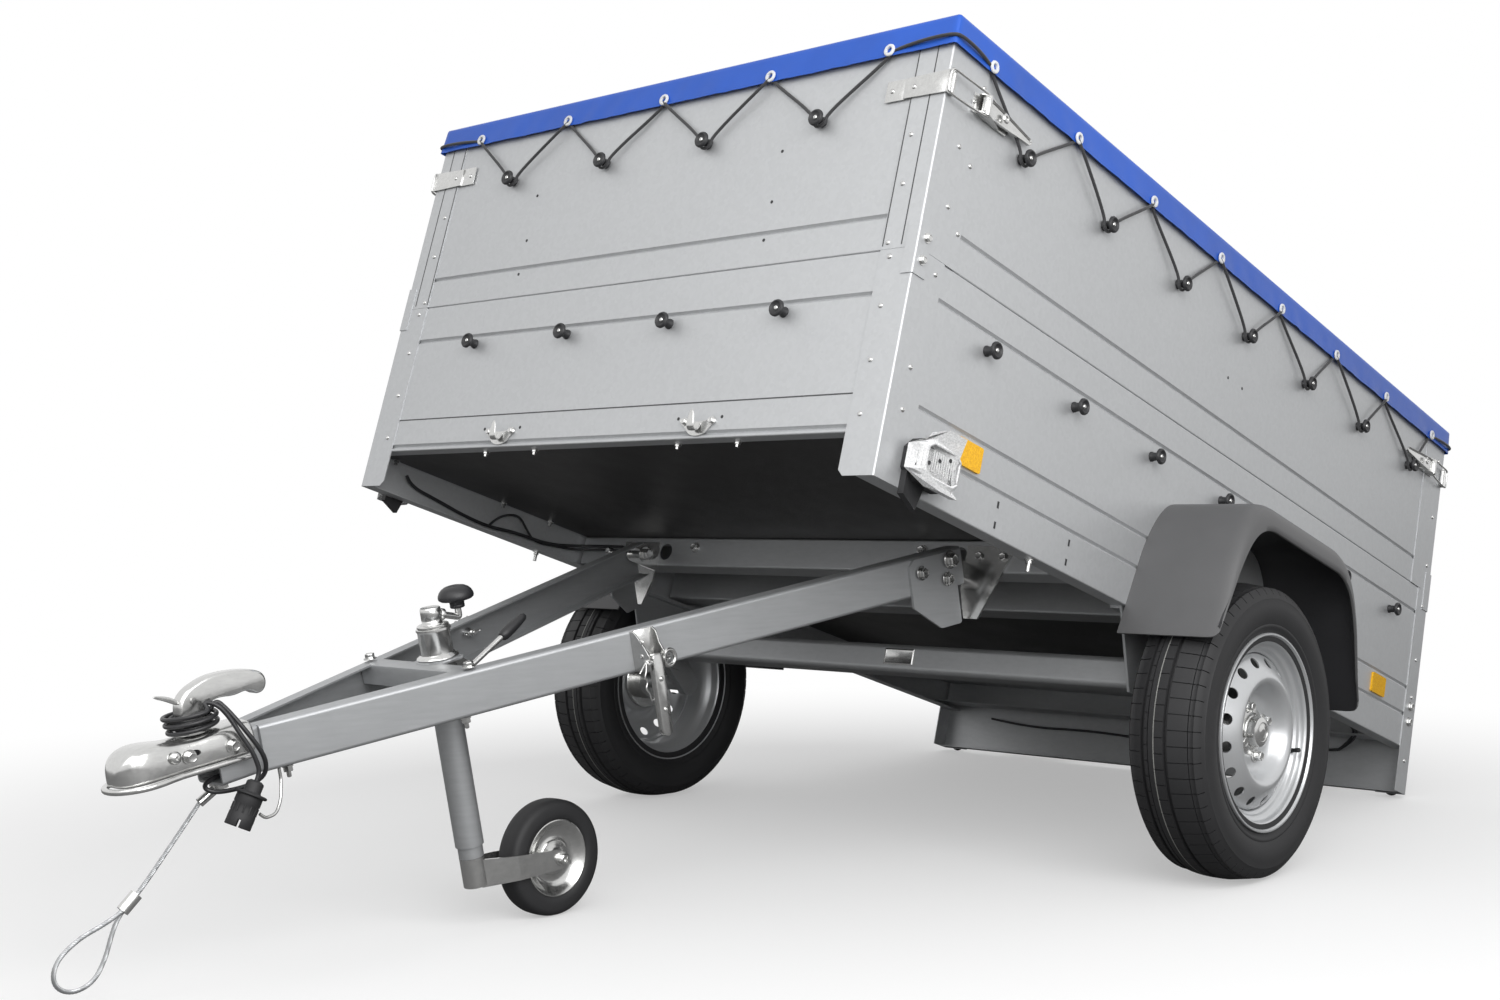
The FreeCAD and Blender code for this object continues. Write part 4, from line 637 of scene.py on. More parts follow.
def wire(name, points, radius, cyclic=False, order=3):
    """A bent round wire along smooth points, made a mesh."""
    curve = round_curve(name, radius * mm, 3, 6)
    smooth_line(curve, [Vector(point) * mm for point in points], order, cyclic)
    return meshed(name, curve)


def pad(name, outline, thickness, edge, order=3):
    """A smooth closed outline filled and given a thickness about its plane, with round edges."""
    curve = bpy.data.curves.new(name, "CURVE")
    curve.dimensions = "2D"
    curve.fill_mode = "BOTH"
    curve.extrude = (thickness / 2 - edge) * mm
    curve.bevel_depth = edge * mm
    curve.offset = -edge * mm
    curve.bevel_resolution = 3
    curve.resolution_u = 5
    smooth_line(curve, [(across * mm, up * mm, 0) for across, up in outline], order, True)
    piece = meshed(name, curve)
    with Edit(piece) as edit:
        edit.merge(0.005)
        edit.outward()
    return piece


def skinned(name, lines):
    """A surface between neighbouring smooth lines that have the same number of points."""
    ribs = [wire("rib", rows, 0) for rows in lines]
    strips = []
    for first, second in zip(ribs, ribs[1:]):
        strip = joined("strip", [copied(first, Matrix()), copied(second, Matrix())])
        with Edit(strip):
            bpy.ops.mesh.bridge_edge_loops()
        strips.append(strip)
    for rib in ribs:
        bpy.data.objects.remove(rib)
    piece = joined(name, strips)
    with Edit(piece) as edit:
        edit.merge()
        edit.outward()
    return piece


def bolt(radius, height, washer=0.0):
    """A six-sided head, its washer face below it."""
    clear_choice()
    bpy.ops.mesh.primitive_cylinder_add(vertices=6, radius=radius * mm, depth=height * mm,
            location=(0, 0, (height / 2 + washer) * mm))
    head = bpy.context.active_object
    bpy.ops.object.transform_apply(location=True, rotation=True, scale=True)
    with Edit(head) as edit:
        edit.faces(lambda centre, normal: normal.z > 0.9)
        edit.inset(radius * 0.10, radius * 0.10)
        edit.inset(radius * 0.12)
        edit.inset(radius * 0.08, -radius * 0.06)
    rounded(head, radius * 0.05, 2, 25)
    if washer:
        ring = radius * 1.35
        disc = turning("washer", [(0, 0), (ring, 0), (ring, washer * 0.7), (ring * 0.97, washer), (0, washer)],
                24)
        head = joined("bolt", [head, disc])
    return head


def rivet(radius, height):
    """A domed head with a small dimple left by its mandrel."""
    profile = [(radius, 0), (radius, height * 0.25), (radius * 0.86, height * 0.66),
            (radius * 0.6, height * 0.93), (radius * 0.32, height), (radius * 0.24, height * 0.7),
            (0, height * 0.62)]
    return turning("rivet", profile, 12)


facings = {"front": ((0, 1, 0), (0, 0, 1)), "rear": ((0, -1, 0), (0, 0, 1)), "left": ((-1, 0, 0), (0, 0, 1)),
    "right": ((1, 0, 0), (0, 0, 1)), "up": ((1, 0, 0), (0, 1, 0)), "down": ((1, 0, 0), (0, -1, 0))}


def facing(place, direction):
    """A place in millimetres whose X and Y lie in the face and whose Z leaves it."""
    across, up = (Vector(part) for part in facings[direction])
    turn = Matrix((across, up, across.cross(up))).transposed().to_4x4()
    return Matrix.Translation(Vector(place) * mm) @ turn


def moved(x=0.0, y=0.0, z=0.0):
    """A shift in millimetres."""
    return Matrix.Translation((x * mm, y * mm, z * mm))


def spun(degrees, axis):
    return Matrix.Rotation(math.radians(degrees), 4, axis)


def on_bed(place, direction):
    return bed_matrix() @ facing(place, direction)


def on_bar(place, direction):
    return bar_matrix() @ facing(place, direction)


flip = Matrix.Diagonal((1, -1, 1, 1))


def both_sides(matrices):
    """The same places again on the other side of the trailer, mirrored."""
    return list(matrices) + [flip @ matrix for matrix in matrices]


def done(piece, finish, body, *stands_for, smooth=40.0):
    """Give a finished piece its material, its shading, its body and the solids it stands for."""
    only(piece)
    if not piece.data.materials:
        piece.data.materials.append(finishes[finish])
    bpy.ops.object.shade_smooth_by_angle(angle=math.radians(smooth))
    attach(piece, body)
    if stands_for:
        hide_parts(*stands_for)
    return piece


# Wheels


# The tyre's outer side from the bead to the shoulder, and the hollow behind it
tyre_side = [(167, 66), (176, 67.5), (183, 66.5), (189, 68), (193, 72), (197, 72.5), (199, 71.7), (205, 74),
    (214, 76.4), (224, 77.5), (234, 77), (243, 74.8), (246, 74.9), (248, 73.2), (254, 70.5), (260, 66.8),
    (265.5, 62)]
hollow_side = [(167, 58), (190, 63), (222, 68.5), (244, 66), (257, 55)]


# Grooves of the tread: their two edges, the share of the full depth and the slope of the walls
tread_grooves = [(-39, -31, 1, 1.4), (7, 15, 1, 1.4), (-24.5, -22.5, 0.5, 0.3), (51, 52.6, 0.5, 0.3)]
tread_line = (-12.5, -10.5)
tread_edges = (-56, -50, 47, 57)


def tread_profile(depth):
    """From the inner shoulder to the outer one, with its grooves and its coloured line."""
    points = [(0, across) for across in tread_line + tread_edges]
    for low, high, share, slope in tread_grooves:
        points += [(0, low), (depth * share, low + slope), (depth * share, high - slope), (0, high)]
    points.sort(key=lambda point: point[1])

    def crown(across):
        return 273.5 - 0.0016 * across * across - 0.0000004 * across ** 4
    return [(crown(across) - down, across) for down, across in points]


def build_tyre(settings):
    """Tyre with its grooves and the cross cuts of its shoulders, turned about its own axis."""
    inner = [(radius, -width) for radius, width in tyre_side]
    hollow = [(radius, -width) for radius, width in reversed(hollow_side)]
    tread = tread_profile(settings.groove_depth / mm)
    piece = lathed("tyre", inner + tread + tyre_side[::-1] + hollow_side + [(261, 0)] + hollow,
            settings.tyre_steps)
    step = math.tau / settings.tyre_steps
    every = settings.sipe_every

    def across_cut(first, second, low, high, phase):
        if abs(first.z - second.z) < 0.5 or min(first.xy.length, second.xy.length) < 253:
            return False
        middle = (first + second) / 2
        if not low < middle.z < high:
            return False
        index = round(math.atan2(middle.y, middle.x) / step)
        same = abs(math.atan2(first.y, first.x) - math.atan2(second.y, second.x)) < step / 4
        return same and index % every == phase

    for low, high, phase in ((15.5, 71, 0), (-71, -39.5, every // 2), (-31, -24.6, 0), (-10, 6.5, every // 2)):
        with Edit(piece) as edit:
            edit.edges(lambda first, second: across_cut(first, second, low, high, phase))
            bpy.ops.mesh.bevel(offset=0.9 * mm, segments=1, affect="EDGES")
            bpy.ops.mesh.extrude_region_shrink_fatten(TRANSFORM_OT_shrink_fatten={"value": -3.2 * mm})
    piece.data.materials.append(finishes["tyre_rubber"])
    piece.data.materials.append(finishes["tread_line"])
    for face in piece.data.polygons:
        centre = face.center / mm
        if centre.xy.length > 272 and tread_line[0] < centre.z < tread_line[1]:
            face.material_index = 1
    return piece


def thickened(line, wall):
    """A line and, back along it, a second one a wall's thickness to its right."""
    back = []
    for index, point in enumerate(line):
        ahead = Vector(line[min(index + 1, len(line) - 1)]) - Vector(line[max(index - 1, 0)])
        ahead.normalize()
        back.append((point[0] + ahead.y * wall, point[1] - ahead.x * wall))
    return line + back[::-1]


# Where the wheel disc is bolted on, from the tyre's middle plane
disc_face = 34

# The pressed disc's outer face, from the hub hole out to the rim's well
disc_line = [(31, 34), (58, 34), (67, 34.4), (72, 36.5), (77, 43), (83, 55), (89, 63.5), (95, 67.6),
    (101, 68.2), (107, 66), (113, 62.5), (122, 56.5), (132, 49.5), (138, 45), (142.5, 40.5), (145, 34),
    (145.4, 18)]


def build_rim(settings):
    """Rim ring, and the disc with its oval vents."""
    wall = 3.0
    ring = [(149, 33), (152, 38), (157, 44), (165.5, 47.5), (166.5, 56), (167.5, 60), (171, 63), (179, 64),
            (182.5, 66.5), (183, 69.5), (181.8, 71.6), (179, 71.6), (177.4, 69.4), (176, 66.4), (171, 65.4),
            (166.5, 65), (164.4, 63), (163.6, 59), (162.8, 53.4), (161, 51.4), (156, 50.4), (153.6, 48.6),
            (152.6, 44.4), (151, 42.4), (147.4, 41.4), (145.9, 39.6), (145.5, 35), (145.5, -16), (148, -24),
            (153, -32), (160, -38), (163, -42), (163, -56), (166, -60), (176, -66), (182.5, -68), (183, -65),
            (180, -62.5), (170, -57), (166, -54), (166, -43), (162, -37), (156, -30), (152, -22), (149, -14)]
    rim = lathed("rim", ring, 96)
    disc = lathed("disc", thickened(disc_line, wall), 96)
    cutters = []
    for index in range(settings.vents):
        angle = math.tau * (index + 0.5) / settings.vents - math.radians(5)
        clear_choice()
        bpy.ops.mesh.primitive_cylinder_add(vertices=20, radius=1, depth=1)
        cutter = bpy.context.active_object
        turn = Matrix.Rotation(angle, 4, "Z") @ moved(128.5, 0, 52)
        tilt = spun(36, "Y")
        put(cutter, turn @ tilt @ Matrix.Diagonal((11.4 * mm, 10.6 * mm, 34 * mm, 1)))
        cutters.append(cutter)
    cut(disc, joined("vents", cutters))
    return joined("rim", [rim, disc])


def build_hub():
    """Hub flange behind the disc, four seated bolts, the locating ring and the dust cap."""
    flange = turning("hub", [(0, -4), (30.5, -4), (30.5, 2), (28, 2), (28, -12), (64, -12), (66, -10), (66, -5),
            (64, -3.2), (58, -3.2), (44, -3.2), (42, -48), (0, -48)], 48)
    cap = turning("cap", [(31, 0.2), (31, 4), (29.5, 6), (28.2, 6.6), (28, 19), (27, 22.5), (24, 24.5),
            (18, 25.2), (17, 24.2), (11, 24.6), (10, 25.4), (4, 25.8), (0, 25.8)], 40)
    seat = turning("seat", [(44, 0), (43.5, 2.2), (35, 3.4), (33, 0)], 48)
    places = [Matrix.Rotation(math.tau * index / 4 + math.radians(17), 4, "Z") @ moved(49, 0, 0)
            for index in range(4)]
    bolts = spread("wheel_bolts", bolt(9.2, 12, 3.0), places)
    dish = turning("bolt_seat", [(14.5, -0.5), (13.5, 1), (12, 1.6), (9, 1.2)], 24)
    hub = joined("hub", [flange, cap, seat, bolts, spread("bolt_seats", dish, places)])
    return put(hub, moved(0, 0, disc_face))


def build_valve():
    stem = turning("valve", [(5.6, -4), (5.6, 3), (4.2, 5), (3.6, 18), (4.4, 19), (4.4, 27), (3.6, 28),
            (0, 28)], 16)
    lean = spun(160, "Z") @ moved(148, 0, 42)
    return put(stem, lean @ spun(-24, "Y"))


class TRAILER_OT_wheels(Operator):
    """Road wheels: tyres with their treads, pressed rims, hubs and valves"""
    bl_idname = "trailer.wheels"
    bl_label = "Road Wheels"

    def execute(self, context):
        settings = context.scene.trailer_wheels
        models = {"tyre": build_tyre(settings), "rim": build_rim(settings), "hub": build_hub(),
                "valve": build_valve()}
        slots = {"tyre": "tyre_rubber", "rim": "wheel_silver", "hub": "zinc", "valve": "black_rubber"}
        turn = spun(-90, "X")
        for side, sign in (("left", 1), ("right", -1)):
            centre = Vector(joints[f"wheel_{side}_spin"]["pos_m"])
            centre.y = abs(centre.y)
            place = Matrix.Translation(centre) @ turn
            if sign < 0:
                place = flip @ place
            for name, model in models.items():
                piece = copied(model, place)
                piece.name = f"{name}_{side}_detail"
                stands_for = [] if name == "valve" else [f"{name}_{side}"]
                done(piece, slots[name], f"wheel_{side}", *stands_for)
        for model in models.values():
            bpy.data.objects.remove(model)
        return {"FINISHED"}


# Cover and lashing


front_face = -2.0
rear_face = -2093.0
side_board_face = 655.5
side_posts_face = 657.5
eyelet_height = 740.0
low_knobs = 288
high_knobs = 634
cloth_margin = 8

# How far the lashing cord stands off the boards: in an eyelet, and outside or inside the skirt
cord_in_eyelet = 8.5
cord_outside = 14.0
cord_inside = 4.4
front_eyelets = [530.0, 265.0, 0.0, -265.0, -530.0]
side_eyelets = [-100.0 - 269.3 * index for index in range(8)]
front_knobs = [402.0, 134.0, -134.0, -402.0]
side_knobs = [-228.0 - 277.0 * index for index in range(7)]


def cover_noise(seed):
    """A smooth height over the cloth made of a few long waves."""
    dice = random.Random(seed)
    waves = [(dice.uniform(2, 9), dice.uniform(2, 9), dice.uniform(0, math.tau), dice.uniform(0.4, 1))
            for _ in range(9)]

    def height(across, along):
        total = sum(size * math.sin(first * along + second * across + phase)
                for first, second, phase, size in waves)
        return total / len(waves)
    return height


class TRAILER_OT_cover(Operator):
    """Flat cover: cloth over the boards with a wrinkled skirt, and its eyelets"""
    bl_idname = "trailer.cover"
    bl_label = "Cover"

    def execute(self, context):
        settings = context.scene.trailer_cover
        length = bed_length / mm + cloth_margin
        width = 2 * half_width / mm + cloth_margin
        skirt = settings.skirt / mm
        steps = 5
        clear_choice()
        bpy.ops.mesh.primitive_grid_add(x_subdivisions=176, y_subdivisions=110, size=1)
        cloth = bpy.context.active_object
        put(cloth, Matrix.Diagonal((length * mm, width * mm, 1, 1)))
        with Edit(cloth) as edit:
            bpy.ops.mesh.region_to_loop()
            for _ in range(steps):
                edit.extrude((0, 0, -skirt / steps * mm))
            edit.outward()
        rounded(cloth, 5, 2, 50)
        long_waves = cover_noise(3)
        short_waves = cover_noise(8)
        half_length = length / 2
        half_across = width / 2
        sag = settings.sag / mm
        for vert in cloth.data.vertices:
            x, y, z = vert.co / mm
            if z > -1:
                inside = max(0.0, 1 - (x / half_length) ** 2) * max(0.0, 1 - (y / half_across) ** 2)
                waves = 5.0 * min(1, inside * 6) * long_waves(x * 0.004, y * 0.004)
                vert.co.z -= (sag * inside ** 0.6 + waves) * mm
                continue
            down = min(1.0, -z / skirt)
            along = x if abs(abs(y) - half_across) < cloth_margin else y
            ripple = 2.6 * short_waves(along * 0.012, down * 0.6) + 1.5 * long_waves(along * 0.045, down)
            out = 1.5 + 2.2 * down + ripple * down
            if abs(abs(y) - half_across) < cloth_margin:
                vert.co.y += math.copysign(out * mm, y)
            if abs(abs(x) - half_length) < cloth_margin:
                vert.co.x += math.copysign(out * mm, x)
            vert.co.z += 1.6 * long_waves(along * 0.02, 1) * down * mm
        modified(cloth, "SOLIDIFY", thickness=0.9 * mm, offset=-1)
        cloth.name = "cover_cloth"
        top = boards_top / mm + 2.2
        put(cloth, bed_matrix() @ Matrix.Translation((-bed_length / 2, 0, top * mm)))
        ring = lathed("cover_eyelets", [(5.5, -2.6), (9.5, -2.4), (11, -1.2), (11.2, 0), (10.6, 1.4),
                (8.5, 2.3), (6, 1.8), (5.4, 0.4)], 20)
        places = [on_bed((front_face + 12.6, v, eyelet_height), "front") for v in front_eyelets]
        places += [on_bed((rear_face - 12.6, v, eyelet_height), "rear") for v in front_eyelets]
        places += both_sides([on_bed((u, side_board_face + 12.6, eyelet_height), "left") for u in side_eyelets])
        rings = spread("cover_eyelets", ring, places)
        done(rings, "eyelet_white", "bed")
        done(cloth, "cover_fabric", "bed", "cover", smooth=60)
        return {"FINISHED"}


def lash(eyelets, knobs, outside):
    """One side's zigzag as (along, out, height): down from each eyelet, round a knob and up to the next."""
    points = []
    for before, knob, after in zip(eyelets, knobs, eyelets[1:]):
        way = 1 if after > before else -1
        out = cord_outside if outside else cord_inside
        points += [(before, cord_in_eyelet, eyelet_height - 1), (before + 2 * way, out, eyelet_height - 8)]
        points += [(knob + shift * way, 9, high_knobs + rise)
                for shift, rise in ((-15, 12), (-12, -7), (0, -13), (12, -7), (15, 12))]
        points += [(after - 2 * way, out, eyelet_height - 8)]
        outside = not outside
    points.append((eyelets[-1], cord_in_eyelet, eyelet_height - 1))
    return points


class TRAILER_OT_lashing(Operator):
    """Elastic lashing cord round the cover, and the knobs that it hooks on"""
    bl_idname = "trailer.lashing"
    bl_label = "Lashing"

    def execute(self, context):
        near = lash(side_eyelets, side_knobs, False)
        front = lash(front_eyelets[::-1], front_knobs[::-1], True)
        route = [(front_face + out, along, height) for along, out, height in front]
        route += [(front_face + 15, 600, 744), (front_face + 15, 664, 744), (-3, side_board_face + 16, 744),
                (-50, side_board_face + 15.5, 743)]
        route += [(along, side_board_face + out, height) for along, out, height in near]
        rear_corner = [(-2050, side_board_face + 15.5, 743), (-2098, side_board_face + 15, 743),
                (rear_face - 16, 655, 743), (rear_face - 15.5, 600, 743)]
        rear = lash(front_eyelets, front_knobs, False)
        route += rear_corner + [(rear_face - out, along, height) for along, out, height in rear]
        route += [(u, -v, w) for u, v, w in reversed(rear_corner)]
        far = lash(side_eyelets[::-1], side_knobs[::-1], True)
        route += [(along, -side_board_face - out, height) for along, out, height in far]
        route += [(-50, -side_board_face - 15.5, 743), (-3, -side_board_face - 16, 743),
                (front_face + 15, -664, 743), (front_face + 15, -600, 743)]
        cord = wire("lashing_cord", route, context.scene.trailer_cover.cord / mm / 2, cyclic=True)
        put(cord, bed_matrix())
        done(cord, "cord_black", "bed", smooth=60)
        shape = [(9.5, 0), (9.5, 2.5), (8, 5), (7.6, 12), (8.6, 15), (13, 17.4), (15, 19.2), (15, 22),
                (13.6, 24.2), (11.5, 24.8), (9.8, 23.6), (8, 22), (5.2, 21.6), (0, 21.6)]
        model = turning("knob", shape, 28)
        screw = rivet(4.4, 2.6)
        heights = (low_knobs, high_knobs)
        places = [on_bed((front_face, v, w), "front") for v in front_knobs for w in heights]
        places += both_sides([on_bed((u, side_board_face, w), "left") for u in side_knobs for w in heights])
        places += [on_bed((rear_face, v, high_knobs), "rear") for v in front_knobs]
        lift = moved(0, 0, 21.6)
        knobs = spread("lashing_knobs_detail", copied(model, Matrix()), places)
        screws = spread("knob_screws", copied(screw, Matrix()), [place @ lift for place in places])
        done(knobs, "black_plastic", "bed", "lashing_knobs")
        done(screws, "zinc", "bed")
        gate = [on_bed((-bed_length / mm, v, low_knobs), "rear") for v in front_knobs]
        gate_knobs = spread("tailgate_knobs_detail", model, gate)
        gate_screws = spread("tailgate_knob_screws", screw, [place @ lift for place in gate])
        done(gate_knobs, "black_plastic", "tailgate", "tailgate_knobs")
        done(gate_screws, "zinc", "tailgate")
        return {"FINISHED"}


# Coupling, lead and safety cable


arch = [(1, 0), (1, 0.3), (0.985, 0.56), (0.93, 0.78), (0.8, 0.92), (0.5, 0.985), (0, 1), (-0.5, 0.985),
    (-0.8, 0.92), (-0.93, 0.78), (-0.985, 0.56), (-1, 0.3), (-1, 0)]
head_stations = [(1222, 38.5, -17, 48), (1250, 38.5, -17, 48.5), (1285, 38, -16, 47.5), (1318, 36, -15, 45.5),
    (1342, 34.5, -14.5, 46), (1362, 36.5, -14, 50), (1380, 39, -13.5, 53), (1396, 40, -13, 53.5),
    (1410, 38, -12.5, 50.5), (1421, 33.5, -12, 45), (1430, 26, -11.5, 36), (1435, 17, -11, 25),
    (1437.5, 7, -10, 11)]


def build_head():
    """Pressed coupling head: arched shell over the ball, closed at the nose, with a rolled lip."""
    shell = lofted("coupling_shell", arch, head_stations)
    with Edit(shell) as edit:
        edit.edges(lambda first, second: first.x > 1437 and second.x > 1437)
        bpy.ops.mesh.edge_face_add()
        edit.outward()
    modified(shell, "SOLIDIFY", thickness=4 * mm, offset=-1)
    modified(shell, "SUBSURF", levels=2, render_levels=2)
    slot = pad("slot", [(1312, 4), (1312, 13), (1332, 15), (1332, 6)], 40, 0.5)
    cut(shell, put(slot, facing((0, 45, 0), "right")))
    side = [(1236, 43.5), (1270, 43.5), (1300, 43), (1330, 40.5), (1350, 40), (1366, 42.5), (1382, 46.5)]
    nose = [(1395 + 47.5 * math.sin(math.radians(angle)), 47.5 * math.cos(math.radians(angle)))
            for angle in range(0, 91, 10)]
    near = side + nose
    far = [(d, -v) for d, v in reversed(near[:-1])]
    lip = drawn("coupling_lip", [(d, v, -22) for d, v in near + far])
    with Edit(lip) as edit:
        edit.extrude((0, 0, 8.5 * mm))
    modified(lip, "SOLIDIFY", thickness=9 * mm, offset=0)
    rounded(lip, 3.6, 4, 50)
    only(lip)
    lip.rotation_euler.y = math.radians(-1.6)
    lip.location = (-1300 * mm * (math.cos(math.radians(1.6)) - 1), 0, -1300 * mm * math.sin(math.radians(1.6)))
    bpy.ops.object.transform_apply(location=True, rotation=True, scale=True)
    return shell, lip


grip_outline = [(1321, 30), (1321, 62), (1317, 82), (1306, 93), (1292, 100), (1265, 107), (1235, 106),
    (1205, 101), (1183, 94), (1172, 84), (1171, 70), (1178, 60), (1190, 58), (1199, 65), (1208, 69), (1228, 66),
    (1248, 70), (1262, 70), (1274, 63), (1281, 50), (1282, 30)]


class TRAILER_OT_coupling(Operator):
    """Coupling head, its grip handle, bolts and safety tab"""
    bl_idname = "trailer.coupling"
    bl_label = "Coupling"

    def execute(self, context):
        shell, lip = build_head()
        domes = [put(rivet(9.5, 6.5), facing((1354, 37, 12), "left")),
                put(rivet(9.5, 6.5), flip @ facing((1354, 37, 12), "left"))]
        bolts = spread("head_bolts", bolt(8.2, 6.5, 1.6),
                both_sides([facing((1331, 36, 6), "left"), facing((1262, 38.4, 2), "left")]))
        head = joined("coupling_head_detail", [shell, lip, bolts] + domes)
        done(put(head, bar_matrix()), "zinc", "drawbar", "coupling_head", smooth=50)
        grip = put(pad("coupling_handle_detail", grip_outline, 24, 5), facing((0, 0, 0), "right"))
        pin = put(turning("pin", [(5.5, 0), (5.5, 27), (4.8, 28.4), (0, 28.4)], 20),
                facing((1296, -14.2, 78), "left"))
        collar = put(turning("collar", [(0, 0), (25.4, 0), (25.4, 1.5), (22, 3), (19, 4), (0, 4)], 40),
                facing((1300, 0, 31.5), "up"))
        tab = pad("tab", [(1314, 82), (1330, 94), (1352, 101), (1354, 97), (1336, 88), (1318, 76)], 2.4, 1)
        put(tab, facing((0, 5, 0), "right"))
        handle = joined("coupling_handle_detail", [grip, pin, collar, tab])
        done(put(handle, bar_matrix()), "zinc", "drawbar", "coupling_handle", smooth=45)
        return {"FINISHED"}


lead_feed_rows = [(1272, 8, -42), (1297, 10, -43), (1310, 20, -49), (1300, 29, -58), (1268, 29, -64),
    (1240, 34, -64), (1223, 46, -54), (1223, 56, -32), (1232, 58, -8), (1243, 54, 16), (1252, 46, 38),
    (1259, 33, 58), (1266, 22, 72)]
lead_tail_rows = [(1289, 25, 76), (1275, 39, 69), (1264, 46, 48), (1257, 54, 22), (1248, 61, -4),
    (1243, 63, -24), (1241, 63, -43), (1249, 62, -54)]
cable_rows = [(1299, -20, -79), (1350, -33, -130), (1402, -46, -181), (1432, -50, -202), (1464, -52, -211),
    (1502, -54, -217), (1540, -57, -237), (1549, -60, -269), (1526, -62, -292), (1490, -62, -290),
    (1466, -61, -263), (1451, -59, -232), (1436, -57, -208), (1414, -57, -193)]


def lead_turns(settings):
    """Turns round the handle's post: down in an inner layer, and up again outside it."""
    rows = []
    layer = settings.turns / 2
    count = int(settings.turns * 14)
    start = math.radians(128)
    for index in range(count + 1):
        turned = settings.turns * index / count
        angle = start + turned * math.tau - math.radians(20) * index / count
        inner = turned < layer
        share = turned / layer if inner else (turned - layer) / layer
        blend = min(1, max(0, (turned - layer + 0.25) / 0.5))
        radius = 29.6 + 8.6 * blend + (0.5 if inner else 1.6 * share * math.sin(angle * 1.7))
        low, high = 36.5, 59.5
        height = high - (high - low) * share if inner else low + (high - low + 3) * share
        rows.append((1299 + radius * math.cos(angle), radius * math.sin(angle), height))
    return rows


def nurbs_cord(name, rows, diameter, steps=10):
    """A free cord along points of the drawbar's frame, left a curve."""
    curve = round_curve(name, diameter / 2, 4, steps)
    smooth_line(curve, bar_points(rows))
    return linked(name, curve)


def centreline(rows, steps=10):
    """Points of a cord's own line, in order, read from a spline with no thickness."""
    guide = nurbs_cord("guide", rows, 0, steps)
    bpy.context.view_layer.update()
    mesh = bpy.data.meshes.new_from_object(guide.evaluated_get(bpy.context.evaluated_depsgraph_get()))
    points = [vert.co.copy() for vert in mesh.vertices]
    bpy.data.meshes.remove(mesh)
    bpy.data.objects.remove(guide)
    return points


def line_length(points):
    return sum((after - before).length for before, after in zip(points, points[1:]))


def build_plug():
    """Round plug: cord gland, finger flange, ribbed body and a split skirt."""
    body = turning("plug_detail", [(0, -1), (8, -1), (10.5, 0.5), (12.6, 2), (13, 4), (13, 15), (14.5, 17),
            (22.5, 17.6), (24.8, 19), (24.8, 21), (23, 22.4), (19.6, 22.8), (19.8, 34), (18.2, 37), (18.2, 48),
            (19.8, 50), (20, 69), (19.2, 70), (16.8, 70), (16.6, 55), (0, 55)], 40)
    cutters = []
    for angle in (30, 120, 210, 300):
        clear_choice()
        bpy.ops.mesh.primitive_cube_add(size=1)
        place = spun(angle, "Z") @ moved(19, 0, 66)
        cutters.append(put(bpy.context.active_object, place @ Matrix.Diagonal((9 * mm, 4.5 * mm, 15 * mm, 1))))
    cut(body, joined("slots", cutters))
    ribs = []
    for index in range(12):
        clear_choice()
        bpy.ops.mesh.primitive_cylinder_add(vertices=8, radius=0.5, depth=1)
        place = Matrix.Rotation(math.tau * index / 12, 4, "Z") @ moved(18.4, 0, 42.5)
        ribs.append(put(bpy.context.active_object, place @ Matrix.Diagonal((3 * mm, 3 * mm, 12 * mm, 1))))
    return joined("plug_detail", [body] + ribs)


class TRAILER_OT_cords(Operator):
    """Lighting lead wound round the handle, its plug, and the safety cable"""
    bl_idname = "trailer.cords"
    bl_label = "Lead and Cable"

    def execute(self, context):
        settings = context.scene.trailer_cords
        lead_rows = lead_feed_rows + lead_turns(settings) + lead_tail_rows
        lead_length = line_length(centreline(lead_rows))
        lead = nurbs_cord("lead", lead_rows, settings.lead)
        end = Vector(lead_tail_rows[-1])
        axis = (end - Vector(lead_tail_rows[-2])).normalized()
        turn = axis.to_track_quat("Z", "Y").to_matrix().to_4x4()
        plug = put(build_plug(), bar_matrix() @ Matrix.Translation(end * mm) @ turn)
        done(plug, "black_rubber", "drawbar", "plug", smooth=45)
        lead.data.materials.append(finishes["lead_sheath"])
        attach(lead, "drawbar")
        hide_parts("lead_feed", "lead_coil", "lead_tail")
        path = centreline(cable_rows, 30)
        cable = stranded("safety_cable_detail", path, settings)
        done(cable, "cable_steel", "drawbar", "safety_cable", smooth=60)
        return {"FINISHED"}


def stranded(name, path, settings):
    """Strands laid in a helix round a path, with a core."""
    strand = settings.cable / 6
    reach = settings.cable / 2 - strand
    across = path[1] - path[0]
    side = across.orthogonal().normalized()
    rings = []
    run = 0.0
    for index, point in enumerate(path):
        ahead = path[min(index + 1, len(path) - 1)] - path[max(index - 1, 0)]
        ahead.normalize()
        side = (side - ahead * side.dot(ahead)).normalized()
        if index:
            run += (point - path[index - 1]).length
        rings.append((point, side.copy(), ahead.cross(side), run))
    curve = round_curve(name, strand, 1, 1)
    for start in range(settings.strands + 1):
        spline = curve.splines.new("POLY")
        spline.points.add(len(rings) - 1)
        out = reach if start else 0.0
        for knot, (point, right, up, run) in zip(spline.points, rings):
            angle = math.tau * (start / settings.strands + run / settings.strand_pitch)
            place = point + (right * math.cos(angle) + up * math.sin(angle)) * out
            knot.co = (*place, 1)
    return meshed(name, curve)


# Drawbar fittings


bar_half_span = 419.8
bar_taper = 0.3127
jockey_place = 845
bar_low = -52.6

# The strap between the bars: its middle along them and its gap to their outer faces
strap_middle = 888
strap_gap = 5

# The clamp's lever
lever_root = (jockey_place - 60, 0, -12)
lever_tip = (jockey_place - 194, 0, 44)


